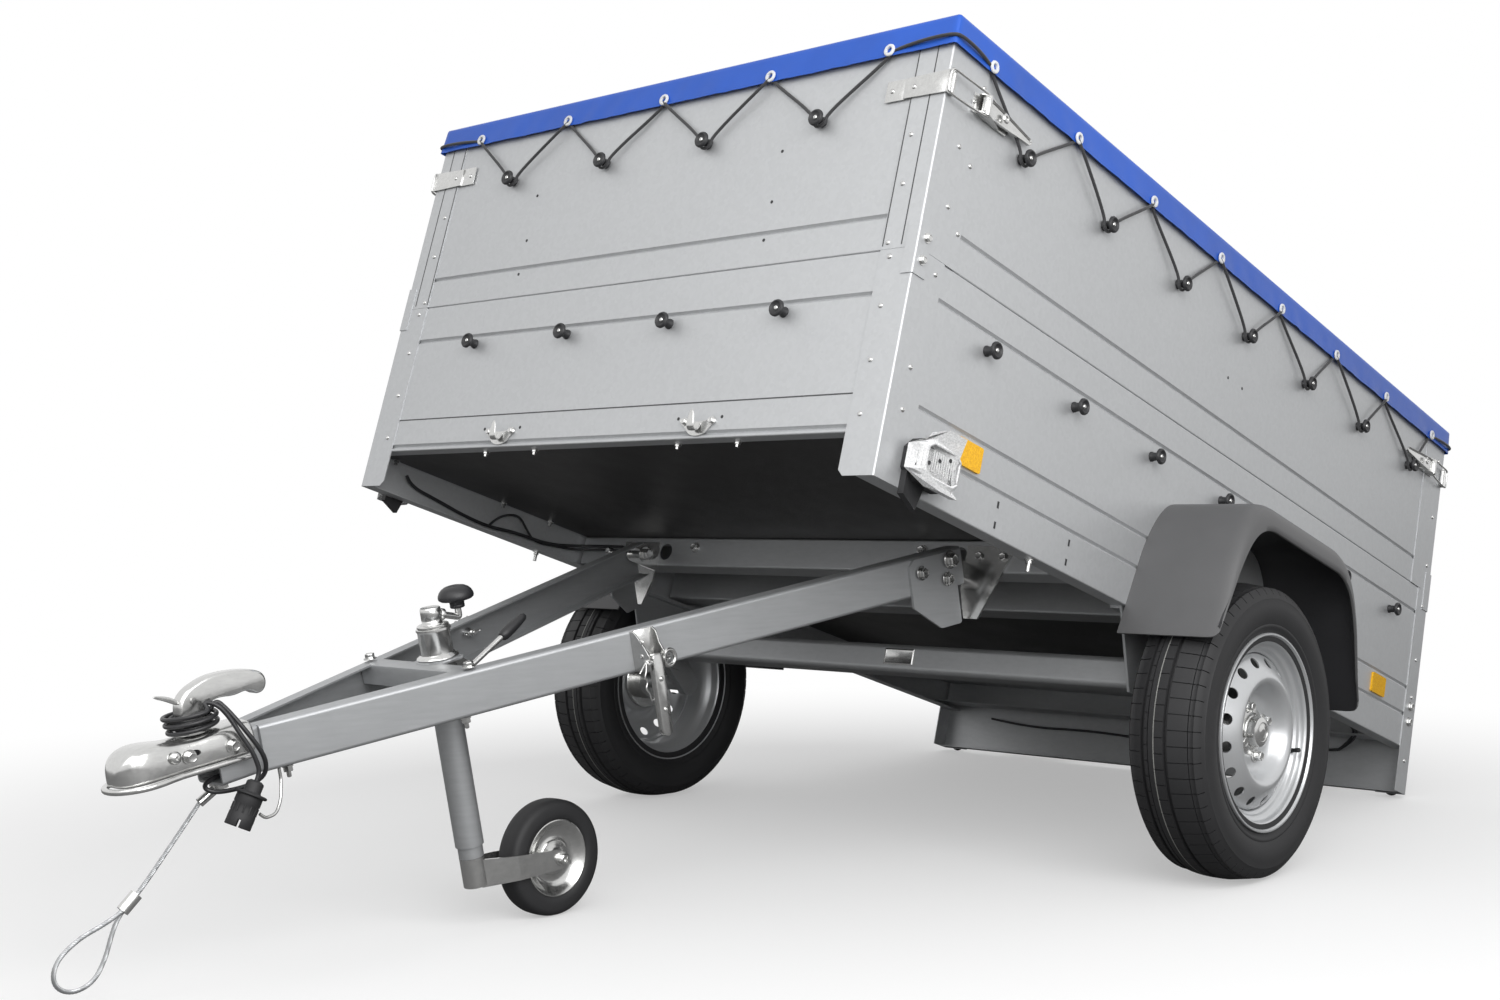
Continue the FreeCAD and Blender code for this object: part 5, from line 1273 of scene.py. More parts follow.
def bar_edge(along):
    """How far the near bar's outer face stands from the middle."""
    return bar_half_span - bar_taper * along


def bar_face(along, height, out=0.0):
    """A place on the near bar's outer face, in the drawbar's frame, whose Z leaves the face."""
    across = Vector((-1, bar_taper, 0)).normalized()
    up = Vector((0, 0, 1))
    turn = Matrix((across, up, across.cross(up))).transposed().to_4x4()
    place = Vector((along, bar_edge(along), height))
    return Matrix.Translation(place * mm) @ turn @ moved(0, 0, out)


def aimed(start, end):
    """A place at one point of the drawbar's frame whose Z runs to another."""
    way = Vector(end) - Vector(start)
    return Matrix.Translation(Vector(start) * mm) @ way.to_track_quat("Z", "Y").to_matrix().to_4x4()


def build_bar_latch():
    """Hanging latch on the near bar: two ears, folded arm on its pin, ring and spring clip."""
    ears = []
    for along, flare in ((587, 0), (621, 3)):
        back = bar_edge(along) - 1
        outline = [(back, 17), (back + 6, 18), (back + 14, 12), (254, -8), (262.5, -22), (263, -36), (262, -47),
                (252, -51), (back, -50), (back, -46)]
        ears.append(put(pad("ear", outline, 3, 0.7, order=2), facing((along + flare / 2, 0, 0), "front")))
    sheet = plate("back", [(-19, -50), (19, -50), (19, 15), (12, 18), (-12, 18), (-19, 15)], 3, 0.6)
    sheet = put(sheet, bar_face(604, 0))
    arm = plate("arm", [(-12, 8), (-12, -112), (-8.5, -124), (0, -128), (8.5, -124), (12, -112), (12, 8),
            (7, 12.5), (-7, 12.5)], 12, 1.6)
    with Edit(arm) as edit:
        edit.faces(lambda centre, normal: normal.z < -0.9 and centre.z < 1)
        edit.inset(2.6)
        edit.extrude((0, 0, 9.4 * mm))
    arm = put(arm, facing((604, 251, -36), "left"))
    pin = put(turning("pin", [(0, 0), (4.4, 0), (5, 0.8), (5, 50), (7.5, 50), (7.5, 53), (6, 54.5), (0, 54.5)],
            20), aimed((574, 257, -36), (640, 257, -36)))
    clear_choice()
    bpy.ops.mesh.primitive_torus_add(major_radius=13.2 * mm, minor_radius=4 * mm, major_segments=36,
            minor_segments=14)
    ring = put(bpy.context.active_object, facing((573, 257, -38), "left"))
    clip = wire("clip", [(629, 259, -32), (632, 262, -42), (640, 262, -56), (633, 262, -62), (641, 262, -74),
            (632, 262, -84), (633, 262, -97), (625, 262, -94)], 1.3)
    clip_end = wire("clip", [(630, 259, -32), (641, 261, -40), (648, 261, -46)], 1.3)
    rivets = spread("latch_rivets", rivet(4.6, 2.8), [facing((622.6, 250, 0), "front"),
            facing((622.6, 246, -24), "front"), facing((604, 263, -66), "left"),
            facing((604, 263, -118), "left")])
    return joined("drawbar_latches_detail", ears + [sheet, arm, pin, ring, clip, clip_end, rivets])


plate_bolts = [(62, -11), (10, -33)]


def build_pivot():
    """Pivot bolt of the near side: hexagon head and washer outside, lock nut inside."""
    head = put(bolt(12.5, 10, 3), facing((0, 424.6, 0), "left"))
    shank = put(turning("shank", [(0, 0), (8, 0), (8, 70), (0, 70)], 20), facing((0, 357, 0), "left"))
    nut = put(bolt(12.5, 12, 3), facing((0, 369, 0), "right"))
    small = spread("plate_bolts", bolt(10, 8, 2.2), [facing((d, bar_edge(d) + 5, h), "left")
            for d, h in plate_bolts])
    return joined("pivot_bolts_detail", [head, shank, nut, small])


class TRAILER_OT_bar_fittings(Operator):
    """Latches, pivot bolts, cross member and bolts of the drawbar"""
    bl_idname = "trailer.bar_fittings"
    bl_label = "Drawbar Fittings"

    def execute(self, context):
        places = both_sides([bar_matrix()])
        done(spread("drawbar_latches_detail", build_bar_latch(), places), "zinc", "drawbar", "drawbar_latches")
        done(spread("pivot_bolts_detail", build_pivot(), places), "zinc", "drawbar", "pivot_bolts")
        done(build_cross_member(), "galvanised_frame", "drawbar", "cross_plate")
        tops = both_sides([on_bar((886, 130, 23.4), "up")])
        stud = turning("stud", [(0, 0), (9.5, 0), (9.5, 2), (8, 2.2), (8, 8.5), (7, 9.5), (4, 9.8), (4, 17),
                (3, 18.6), (0, 18.6)], 6)
        lows = both_sides([on_bar((d, v, bar_low), "down") for d, v in ((905, 125), (1180, 40))])
        done(joined("bar_bolts", [spread("heads", bolt(8, 6.5, 2), tops), spread("studs", stud, lows)]), "zinc",
                "drawbar")
        wings = [facing((602, side * (bar_edge(602) - 5.5), -8), "right" if side > 0 else "left")
                for side in (1, -1)]
        done(put(spread("wing_nuts", build_wing_nut(), wings), bar_matrix()), "zinc", "drawbar")
        return {"FINISHED"}


def build_wing_nut():
    """Nut with two ears on the threaded end of a latch pin."""
    nut = turning("nut", [(0, 0), (9, 0), (8, 3), (6.6, 8), (6, 13), (0, 13)], 20)
    end = turning("thread", [(0, 12), (4, 12), (4, 20), (3, 21), (0, 21)], 16)
    ear = pad("ear", [(4, 1), (10, 2), (19, 9), (20, 17), (14, 19), (9, 12), (5, 9)], 3, 0.9)
    ear = put(ear, spun(90, "X"))
    return joined("wing_nut", [nut, end, copied(ear, Matrix.Diagonal((-1, 1, 1, 1))), ear])


def build_cross_member():
    """Folded strap between the bars, below their upper lips, with the ring plate that holds the jockey tube."""
    half = bar_edge(strap_middle) - strap_gap
    line = [(866, 2), (866, 16), (869, 19), (872, 19.4), (901, 19.4), (904.6, 18.6), (905.4, 15), (905.4, -14)]
    strap = drawn("strap", [(d, -half, h) for d, h in line])
    with Edit(strap) as edit:
        edit.extrude((0, 2 * half * mm, 0))
    modified(strap, "SOLIDIFY", thickness=3 * mm, offset=-1)
    with Edit(strap) as edit:
        edit.outward()
    for side in (1, -1):
        with Edit(strap):
            bpy.ops.mesh.bisect(plane_co=(strap_middle * mm, side * half * mm, 0),
                    plane_no=(bar_taper, side, 0), clear_outer=True, use_fill=True)
    ring = plate("ring", [(-34, -33), (34, -33), (34, 24), (25, 33), (-25, 33), (-34, 24)], 4, 0.8)
    ring = put(ring, moved(jockey_place, 0, 15.2) @ spun(90, "Z"))
    hole = turning("hole", [(0, 10), (24.4, 10), (24.4, 24), (0, 24)], 40)
    cut(ring, put(hole, moved(jockey_place)))
    weld = lathed("weld", [(28, 19), (37, 19), (36.5, 20.4), (33, 21.6), (29.5, 25), (28, 25)], 40)
    with Edit(weld):
        bpy.ops.transform.vertex_random(offset=1.2 * mm, seed=4)
    weld = put(weld, moved(jockey_place))
    return put(joined("cross_plate_detail", [strap, ring, weld]), bar_matrix())


def build_clamp():
    """Tall collar of the jockey tube with its slit ears, screw, lever and lever joint."""
    sleeve = lathed("sleeve", [(24.2, 73.4), (26.4, 73.4), (28.6, 72.2), (28.8, 69), (26.9, 66.5), (27.3, 26),
            (28.6, 21), (29, -24), (27.4, -26.5), (24.2, -26.5)], 48)
    sleeve = put(sleeve, moved(jockey_place))
    foot = lathed("foot", [(28, 23.2), (35, 23.2), (34, 25.4), (30, 27.4), (28, 30)], 48)
    foot = put(foot, moved(jockey_place))
    ears = [put(pad("ear", [(-26, 12), (-40, 12), (-52, 2), (-56, -12), (-50, -24), (-38, -27), (-26, -26)], 5,
            1, order=2), facing((jockey_place, side * 9, 0), "right")) for side in (1, -1)]
    screw = put(turning("screw", [(0, 0), (6.6, 0), (6.6, 34), (0, 34)], 20),
            aimed(lever_root, (jockey_place, 0, -12)))
    joint = put(turning("joint", [(0, -9), (5, -8.6), (8.4, -5), (9, 0), (8.4, 5), (5, 8.6), (0, 9)], 24),
            aimed(lever_root, lever_tip))
    lever = put(turning("lever", [(0, 0), (4.8, 0), (4.8, 86), (0, 86)], 20), aimed(lever_root, lever_tip))
    return joined("jockey_clamp_detail", [sleeve, foot, screw, joint, lever] + ears)


def build_crank():
    """Turned cap of the spindle with its cranked rod."""
    cap = turning("cap", [(0, 73.6), (25.6, 73.6), (26.4, 74.4), (26.4, 76.6), (25, 77.8), (18, 78.4), (17, 80),
            (17, 84), (16.2, 85), (17, 86), (17, 104), (15.6, 106), (14.6, 105.2), (0, 105.2)], 40)
    cap = put(cap, moved(jockey_place))
    rod = wire("rod", [(845, 0, 95), (830, 0, 91), (800, 0, 80), (792, 0, 77), (789, 0, 78), (789, 0, 84),
            (789, 0, 100)], 5.8, order=3)
    flat = put(turning("boss", [(0, 0), (9, 0), (10, 1.5), (10, 8), (7, 11), (0, 11)], 24),
            aimed((829, 0, 91), (800, 0, 80)))
    return joined("jockey_crank_detail", [cap, rod, flat])


def build_grips():
    """Mushroom knob of the crank and the tapered grip of the clamp's lever."""
    knob = turning("knob", [(0, 0), (11, 0), (12.2, 1), (12.4, 5), (11.6, 6), (12.4, 7), (12.4, 11), (14, 12),
            (20, 12.4), (26, 13.6), (29.2, 16), (30, 19), (29.4, 23), (27, 28), (23, 32.4), (17, 35.8),
            (10, 37.4), (8.5, 36.6), (0, 36.8)], 48)
    knob = put(knob, moved(789, 0, 92))
    tip = Vector(lever_tip)
    start = tip - (tip - Vector(lever_root)).normalized() * 62
    grip = turning("grip", [(0, 0), (6.4, 0), (7.4, 1), (9.4, 6), (10, 14), (9.6, 26), (8.6, 40), (7.4, 52),
            (6.4, 58), (4.4, 61.6), (0, 62.4)], 28)
    return joined("jockey_grips_detail", [knob, put(grip, aimed(start, tip))])


jockey_hub = (683, 0, -378.5)

# Half of the jockey wheel's tyre and of its pressed discs, out from the middle
jockey_tyre_half = [(66, 20.5), (67.2, 22.2), (69, 23.2), (71, 24.6), (78, 25), (89, 24.7), (94.5, 22.6),
    (98, 18.6), (99.6, 13), (100, 6)]
jockey_rim_half = [(6.4, 23), (12.5, 23), (13.2, 22), (13.2, 19), (16, 16.4), (22, 14.4), (29, 13.6),
    (30.6, 12.4), (31, 10.6), (34, 9.6), (41, 9.2), (47, 10.6), (53, 14.2), (58, 18.4), (61.5, 21),
    (64.4, 22.6), (66, 22.2), (66.4, 20.6)]


def mirrored_profile(half):
    return half + [(radius, -place) for radius, place in reversed(half)]


class TRAILER_OT_jockey(Operator):
    """Jockey wheel: collar, crank, grips, tyre, pressed rim and hub nuts"""
    bl_idname = "trailer.jockey"
    bl_label = "Jockey Wheel"

    def execute(self, context):
        done(put(build_clamp(), bar_matrix()), "zinc", "drawbar", "jockey_clamp")
        done(put(build_crank(), bar_matrix()), "zinc", "drawbar", "jockey_crank")
        done(put(build_grips(), bar_matrix()), "black_plastic", "drawbar", "jockey_grips", smooth=50)
        place = on_bar(jockey_hub, "left")
        tyre = put(lathed("jockey_tyre_detail", mirrored_profile(jockey_tyre_half), 72), place)
        done(tyre, "black_rubber", "jockey_wheel", "jockey_tyre")
        rim = lathed("jockey_rim_detail", mirrored_profile(jockey_rim_half), 72)
        done(put(rim, place), "zinc", "jockey_wheel", "jockey_rim", smooth=30)
        ring = turning("hub_nut", [(0, 0), (13, 0), (13, 2.2), (9.6, 2.6), (9.8, 9), (8.4, 10.2), (5.4, 10.2),
                (4.8, 8), (4.8, 4), (0, 4)], 28)
        hub = Vector(jockey_hub)
        ends = [facing(hub + Vector((0, 35, 0)), "left"), facing(hub - Vector((0, 35, 0)), "right")]
        nuts = spread("hub_nuts", ring, ends)
        pin = wire("split_pin", [tuple(hub + Vector(row))
                for row in ((12, 40, 1), (4, 41, 1), (-6, 41, -1), (-13, 42, -6), (-11, 41, -12))], 1.5)
        done(put(joined("hub_nuts", [nuts, pin]), bar_matrix()), "zinc", "jockey_swivel")
        return {"FINISHED"}


# Toggle latches and small hardware of the bed


latch_face = 657.6
latch_height = 665


def build_latch(height):
    """Toggle latch of a front corner in the bed's frame: strap, bail, base and lever."""
    strap = plate("strap", [(534, height - 19), (574, height - 19), (574, height + 19), (534, height + 19)],
            2.2, 0.4)
    strap = put(strap, facing((0.2, 0, 0), "front"))
    step = plate("step", [(573, height - 18), (662, height - 20), (662, height + 20), (573, height + 18)], 2.2,
            0.4)
    step = put(step, facing((2.0, 0, 0), "front"))
    fold = plate("fold", [(-4.4, height - 20), (16, height - 20), (16, height + 20), (-4.4, height + 20)], 2.2,
            0.4)
    fold = put(fold, facing((0, 659.6, 0), "left"))
    hook = wire("hook", [(-9, 661.5, height - 20), (-9, 661.5, height), (-9, 661.5, height + 20)], 4.2)
    bail = wire("bail", [(2, 667, height - 22), (-30, 668, height - 21.5), (-96, 674, height - 20),
            (-100, 674, height - 14), (-100, 674, height + 14), (-96, 674, height + 20),
            (-30, 668, height + 21.5), (2, 667, height + 22), (5, 666, height + 14), (5, 666, height - 14)],
            2.3, cyclic=True)
    base = plate("base", [(70, height - 17), (168, height - 17), (176, height - 10), (176, height + 10),
            (168, height + 17), (70, height + 17)], 2.6, 0.6)
    base = put(base, facing((0, latch_face, 0), "left"))
    cheeks = []
    for side in (-1, 1):
        cheek = pad("cheek", [(74, 2), (80, 15), (94, 21), (112, 17), (140, 8), (150, 2)], 2.4, 0.5)
        cheeks.append(put(cheek, cheek_place(height + side * 15.5)))
    lever = plate("lever", [(84, -13.5), (112, -16), (160, -12.5), (205, -8), (228, -6.5), (234, -3), (234, 3),
            (228, 6.5), (205, 8), (160, 12.5), (112, 16), (84, 13.5)], 6.5, 1.2)
    with Edit(lever) as edit:
        edit.faces(lambda centre, normal: normal.z > 0.9 and centre.z > 6)
        edit.inset(3, -2.8)
    lift = moved(0, 0, 15) @ spun(2.4, "Y")
    lever = put(lever, facing((0, latch_face, height), "left") @ lift)
    knuckle = turning("knuckle", [(0, -17.5), (5.5, -17.5), (6, -16), (6, 16), (5.5, 17.5), (0, 17.5)], 16)
    knuckle = put(knuckle, facing((-94, 674, height), "up"))
    eye = lathed("eye", [(4, 0), (8.2, 0), (8.6, 1.6), (6.4, 3), (4.2, 2.6)], 20)
    eye = put(eye, facing((-142, latch_face + 19, height), "left"))
    small = spread("latch_rivets", rivet(4.2, 2.4), [facing((2.3, 547, height), "front"),
            facing((4.1, 593, height), "front"), facing((-160, 660, height), "left"),
            facing((-72, 660, height), "left")])
    return joined("latch", [strap, step, fold, hook, bail, base, lever, knuckle, eye, small] + cheeks)


def cheek_place(height):
    """A plane along the side whose X runs rearwards and whose Y leaves the side."""
    turn = Matrix(((-1, 0, 0), (0, 1, 0), (0, 0, -1))).to_4x4()
    return Matrix.Translation(Vector((0, latch_face, height)) * mm) @ turn


def to_rear():
    """Mirror about the middle of the bed, in the bed's frame."""
    return Matrix.Translation((-bed_length, 0, 0)) @ Matrix.Diagonal((-1, 1, 1, 1))


class TRAILER_OT_latches(Operator):
    """Toggle latches of the four corners"""
    bl_idname = "trailer.latches"
    bl_label = "Toggle Latches"

    def execute(self, context):
        model = build_latch(latch_height)
        places = both_sides([bed_matrix(), bed_matrix() @ to_rear()])
        done(spread("corner_latches_detail", model, places), "zinc", "bed", "corner_latches")
        return {"FINISHED"}


post_side_rivets = [(-59, 578), (-59, 472), (-59, 354), (-40, 190), (-40, 120), (-96, 700), (-96, 560),
    (-96, 440)]
post_front_rivets = [(603, 580), (605, 493), (598, 391), (607, 366), (608, 282), (608, 191), (608, 101)]
seam_bolts = [(-20, 400), (-17, 361)]


# Wheel covers: their middle along the bed, and the outlines of the cover and of its mouth, from the foot up
# to the top, as half length and height
guard_middle = -1058
guard_body = [(301, -56), (276, 40), (252, 136), (207, 210), (158, 235), (100, 235)]
guard_mouth = [(294, -56), (270, 20), (244, 96), (208, 158), (158, 184), (100, 184)]

# How far each section stands from the board, its share of the mouth's outline and its foot's rise
guard_stations = [(655.5, 0, 0), (720, 0, 0), (800, 0, 0), (816, 0.01, 0), (828, 0.05, 0), (838, 0.14, 0.5),
    (846, 0.30, 2), (851, 0.52, 6), (854, 0.78, 11), (855, 1, 17), (853.6, 1.03, 19), (850, 1.03, 20)]


def build_guard():
    """Moulded wheel cover: smooth outer skin turned in at its mouth, its inside painted near black as shade."""
    lines = []
    for v, share, rise in guard_stations:
        half = [(first[0] + (second[0] - first[0]) * share, first[1] + (second[1] - first[1]) * share)
                for first, second in zip(guard_body, guard_mouth)]
        half[0] = (half[0][0] - rise * 0.12, half[0][1] + rise)
        rows = half + [(-along, up) for along, up in reversed(half)]
        lines.append([(guard_middle + along, v, up) for along, up in rows])
    skin = skinned("mudguards_detail", lines)
    top = max(skin.data.polygons, key=lambda face: face.center.z - 0.2 * abs(face.center.y - 0.75))
    if top.normal.z < 0:
        with Edit(skin):
            bpy.ops.mesh.flip_normals()
    skin.data.materials.append(finishes["guard_plastic"])
    # The inside faces take the near-black finish as painted shade under the cover.
    skin.data.materials.append(finishes["black_plastic"])
    modified(skin, "SOLIDIFY", thickness=3.5 * mm, offset=-1, material_offset=1, material_offset_rim=0)
    return skin


class TRAILER_OT_guards(Operator):
    """Moulded wheel covers"""
    bl_idname = "trailer.guards"
    bl_label = "Wheel Covers"

    def execute(self, context):
        places = both_sides([bed_matrix()])
        done(spread("mudguards_detail", build_guard(), places), "guard_plastic", "bed", "mudguards", smooth=50)
        return {"FINISHED"}


class TRAILER_OT_hardware(Operator):
    """Rivets and bolts of the posts, rails and seam plates"""
    bl_idname = "trailer.hardware"
    bl_label = "Rivets and Bolts"

    def execute(self, context):
        places = [on_bed((0, v, w), "front") for v, w in post_front_rivets]
        places += [on_bed((u, side_posts_face, w), "left") for u, w in post_side_rivets]
        rear = [on_bed((-bed_length / mm + 30, side_posts_face, w), "left")
                for w in (700, 560, 440, 340, 210, 120, -30)]
        pieces = both_sides(places + rear)
        done(spread("post_rivets", rivet(4.6, 2.6), pieces), "zinc", "bed")
        seams = both_sides([on_bed((u, side_posts_face + 2, w), "left") for u, w in seam_bolts])
        done(spread("seam_bolts", bolt(6.5, 5, 1.4), seams), "zinc", "bed")
        return {"FINISHED"}


def build_hook():
    """Catch plate of the front board with its cupped tongue and two fixing bolts."""
    base = pad("base", [(-40, 3), (-40, 11), (-33, 14), (-24, 11), (-12, 7), (12, 7), (24, 11), (33, 14),
            (40, 11), (40, 3), (31, -2), (22, -12), (10, -19), (-10, -19), (-22, -12), (-31, -2)], 2.6, 0.6)
    base = put(base, moved(0, 0, 1.4))
    path = [(1.6, 7), (2.6, 3), (4.5, -4), (8, -10), (13, -12.6), (17.5, -10.6), (20.6, -5), (22, 6),
            (22.4, 24)]
    tongue = drawn("tongue", [(-9, up, out) for out, up in path])
    with Edit(tongue) as edit:
        edit.extrude((18 * mm, 0, 0))
        edit.edges(lambda first, second: first.y > 20 and second.y > 20)
        bpy.ops.transform.resize(value=(0.4, 1, 1), center_override=(0, 24 * mm, 22.4 * mm))
    modified(tongue, "SOLIDIFY", thickness=2.8 * mm, offset=0)
    modified(tongue, "SUBSURF", levels=2, render_levels=2)
    heads = spread("hook_rivets", bolt(5.6, 4.4, 1.2), [moved(side * 32, 7, 2.6) for side in (-1, 1)])
    return joined("front_hooks_detail", [base, tongue, heads])


def build_marker_lens():
    """Eight-cornered clear lens with a raised rim and a shallow crowned middle."""
    outline = [(-48, -20), (-48, 20), (-32, 31), (32, 31), (48, 20), (48, -20), (32, -31), (-32, -31)]
    lens = plate("lens", outline, 12, 2.4, 3)
    with Edit(lens) as edit:
        edit.faces(lambda centre, normal: normal.z > 0.95)
        edit.inset(5)
        edit.inset(1.4, -1.8)
        edit.inset(2)
        edit.inset(5, 1.6)
        edit.inset(6, 0.8)
    ribs = [put(plate("rib", [(-1, -17), (1, -17), (1, 17), (-1, 17)], 1.0, 0.3), moved(x, 0, 12))
            for x in range(-27, 28, 6)]
    return joined("marker_lamps_detail", [lens] + ribs)


def lamp_pane(low, high):
    """One coloured window of a tail lamp, ribbed inside its rim."""
    pane = plate("pane", [(low, -73), (high, -73), (high, 19), (low, 19)], 3.4, 1.2, 3)
    ribs = [put(plate("rib", [(low + 5, -1), (high - 5, -1), (high - 5, 1), (low + 5, 1)], 0.8, 0.3),
            moved(0, -66 + 6 * row, 3.2)) for row in range(14)]
    return joined("pane", [pane] + ribs)


front_holes = [(side * v, w) for side in (1, -1) for v, w in ((320, 427), (320, 498), (320, 593), (207, 109),
    (309, 109))]
side_holes = [(-1020, 532), (-1081, 531)]
hook_across = 258
hook_height = 95
# Height of the dark strip painted as the shadow under the front board's seam
seam_shadow_height = 137
# Where the dark strips painted as the shadows of the corner posts' folds stand across the front
post_fold_painted_shadows = (588, 626)

# Undersides of the front board's lower lip and of the floor
front_lip_low = 72
floor_low = 73.5


class TRAILER_OT_underside(Operator):
    """Painted shadow strips of the front seam and post folds, painted shade of drilled holes and rail slots, front
    hooks, bolts of rails and crossbeams, blank plate and clipped wiring under the bed
    """
    bl_idname = "trailer.underside"
    bl_label = "Hooks and Underside"

    def execute(self, context):
        # Thin dark strips painted as shadows: one under the front board's pressed seam, and two along each front
        # corner post's folds.
        seam = plate("front_seam_painted_shadow", [(-585, -1.1), (585, -1.1), (585, 1.1), (-585, 1.1)], 0.5, 0)
        done(put(seam, on_bed((front_face, 0, seam_shadow_height), "front")), "seam_shadow", "bed")
        fold = plate("post_fold_painted_shadows", [(-1.1, -180), (1.1, -180), (1.1, 180), (-1.1, 180)], 0.3, 0)
        folds = both_sides([on_bed((0, v, 565), "front") for v in post_fold_painted_shadows])
        done(spread("post_fold_painted_shadows", fold, folds), "seam_shadow", "bed")
        places = [on_bed((front_face, side * hook_across, hook_height), "front") for side in (1, -1)]
        done(spread("front_hooks_detail", build_hook(), places), "zinc", "bed", "front_hooks")
        spots = [on_bed((front_face, v, w), "front") for v, w in front_holes]
        spots += both_sides([on_bed((u, side_board_face, w), "left") for u, w in side_holes])
        # Black discs painted where the drilled holes show only shade.
        hole = turning("drilled_hole_painted_shade", [(3.1, 0), (3.1, 0.35), (0, 0.35)], 14)
        done(spread("drilled_hole_painted_shade", hole, spots), "black_plastic", "bed")
        domes = [on_bed((-22, v, front_lip_low + 0.2), "down") for v in (-314, -174, 198, 338)]
        domes += both_sides([on_bed((u, 640, floor_low + 0.2), "down")
                for u in (-57, -351, -490, -770, -1330, -1610, -1890)])
        stud = turning("stud", [(0, 0), (8, 0), (8, 1.4), (5.8, 1.8), (5.8, 6), (3.6, 6.6), (3.6, 11),
                (0, 11.6)], 6)
        done(spread("floor_bolts", stud, domes), "zinc", "bed")
        heads = both_sides([on_bed((-609.8, v, w), "front")
                for v, w in ((436, 42), (489, 41), (560, 40), (300, 52))])
        heads += both_sides([on_bed((u, 655.6, w), "left") for u, w in ((-2064, 98), (-2064, 62))])
        done(spread("frame_bolts", bolt(8.4, 6.5, 2), heads), "zinc", "bed")
        stud = turning("rail_studs", [(0, 0), (9, 0), (9, 2), (5.6, 2.4), (5.6, 8), (3.8, 8.6), (3.8, 22),
                (0, 22.6)], 20)
        done(spread("rail_studs", stud, both_sides([on_bed((-470, 640, 0), "down")])), "zinc", "bed")
        # Black plates painted where the rail's slots show only shade.
        slots = [on_bed((u, side_board_face, w), "left") for u in (-333, -558) for w in (55, 20)]
        slot = plate("rail_slot_painted_shade", [(-2.6, -6), (2.6, -6), (2.6, 6), (-2.6, 6)], 0.35, 0)
        done(spread("rail_slot_painted_shade", slot, both_sides(slots)), "black_plastic", "bed")
        blank = plate("axle_plate_blank", [(-38, -17), (38, -17), (38, 17), (-38, 17)], 1.2, 0.4)
        with Edit(blank) as edit:
            edit.faces(lambda centre, normal: normal.z > 0.9)
            edit.inset(3)
            edit.inset(0.8, -0.7)
        done(put(blank, on_bed((-901.8, 60, -96), "front")), "zinc", "bed")
        self.add_wiring()
        return {"FINISHED"}

    def add_wiring(self):
        """Sleeved wires along both rails and across to the lamp board, with their clips."""
        rail = [(-40, 610, 44), (-120, 612, 40), (-240, 614, 30), (-330, 613, 34), (-380, 606, 52),
                (-430, 612, 40), (-520, 613, 28), (-600, 606, 40), (-640, 590, 48), (-800, 588, 40),
                (-1100, 590, 36), (-1500, 588, 34), (-1900, 586, 30), (-2040, 560, 12), (-2068, 500, -14)]
        second = [(u, v - 7, w + (5 if index % 2 else -4)) for index, (u, v, w) in enumerate(rail)]
        cross = [(-2066, 500, -16), (-2072, 380, -30), (-2070, 200, -24), (-2072, 0, -34), (-2070, -200, -24),
                (-2072, -380, -30), (-2066, -500, -16)]
        right = [(-90, -640, 50), (-110, -648, 35), (-179, -648, 28), (-255, -648, 18), (-332, -648, 14),
                (-400, -640, 22), (-500, -646, 24), (-576, -640, 42), (-608, -600, 52), (-606, -520, 50)]
        loop = [(-330, -648, 14), (-340, -646, 30), (-358, -640, 48), (-396, -636, 60), (-431, -642, 37),
                (-460, -646, 19), (-521, -646, 26), (-580, -636, 34), (-608, -596, 44), (-606, -516, 42)]
        runs = [wire("wiring", rail, 3.4), wire("wiring", second, 2.6), wire("wiring", cross, 3),
                wire("wiring", right, 3.4), wire("wiring", loop, 2.6)]
        clips = spread("clips", lathed("clip", [(4.6, -3), (6, -3), (6, 3), (4.6, 3)], 16),
                [facing((u, v - 2, w), "front") for u, v, w in rail[1:-2:2]])
        done(put(joined("bed_wiring", runs + [clips]), bed_matrix()), "lead_sheath", "bed", smooth=60)


tail_lamp_face = -2126.6


class TRAILER_OT_lamps(Operator):
    """Lenses of the side lamps and windows of the tail lamps"""
    bl_idname = "trailer.lamps"
    bl_label = "Lamps"

    def execute(self, context):
        lens_place = on_bed((-112, 687.5, 50), "left")
        done(spread("marker_lamps_detail", build_marker_lens(), both_sides([lens_place])), "clear_lens", "bed",
                "marker_lamps", smooth=30)
        screws = [lens_place @ moved(x, y, 13.2) for x, y in ((-12, 4), (15, 13), (-37, -7))]
        screw = turning("screw", [(3.6, 0), (3.6, 0.7), (2.8, 0.9), (2.2, 0.3), (0, 0.3)], 16)
        done(spread("marker_lamp_screws", screw, both_sides(screws)), "black_plastic", "bed")
        for finish, low, high in (("amber_lens", 271, 336), ("red_lens", 340, 420), ("clear_lens", 424, 469)):
            windows = both_sides([on_bed((tail_lamp_face, 0, 0), "rear")])
            done(spread("tail_" + finish, lamp_pane(low, high), windows), finish, "bed", smooth=30)
        return {"FINISHED"}


# Stage


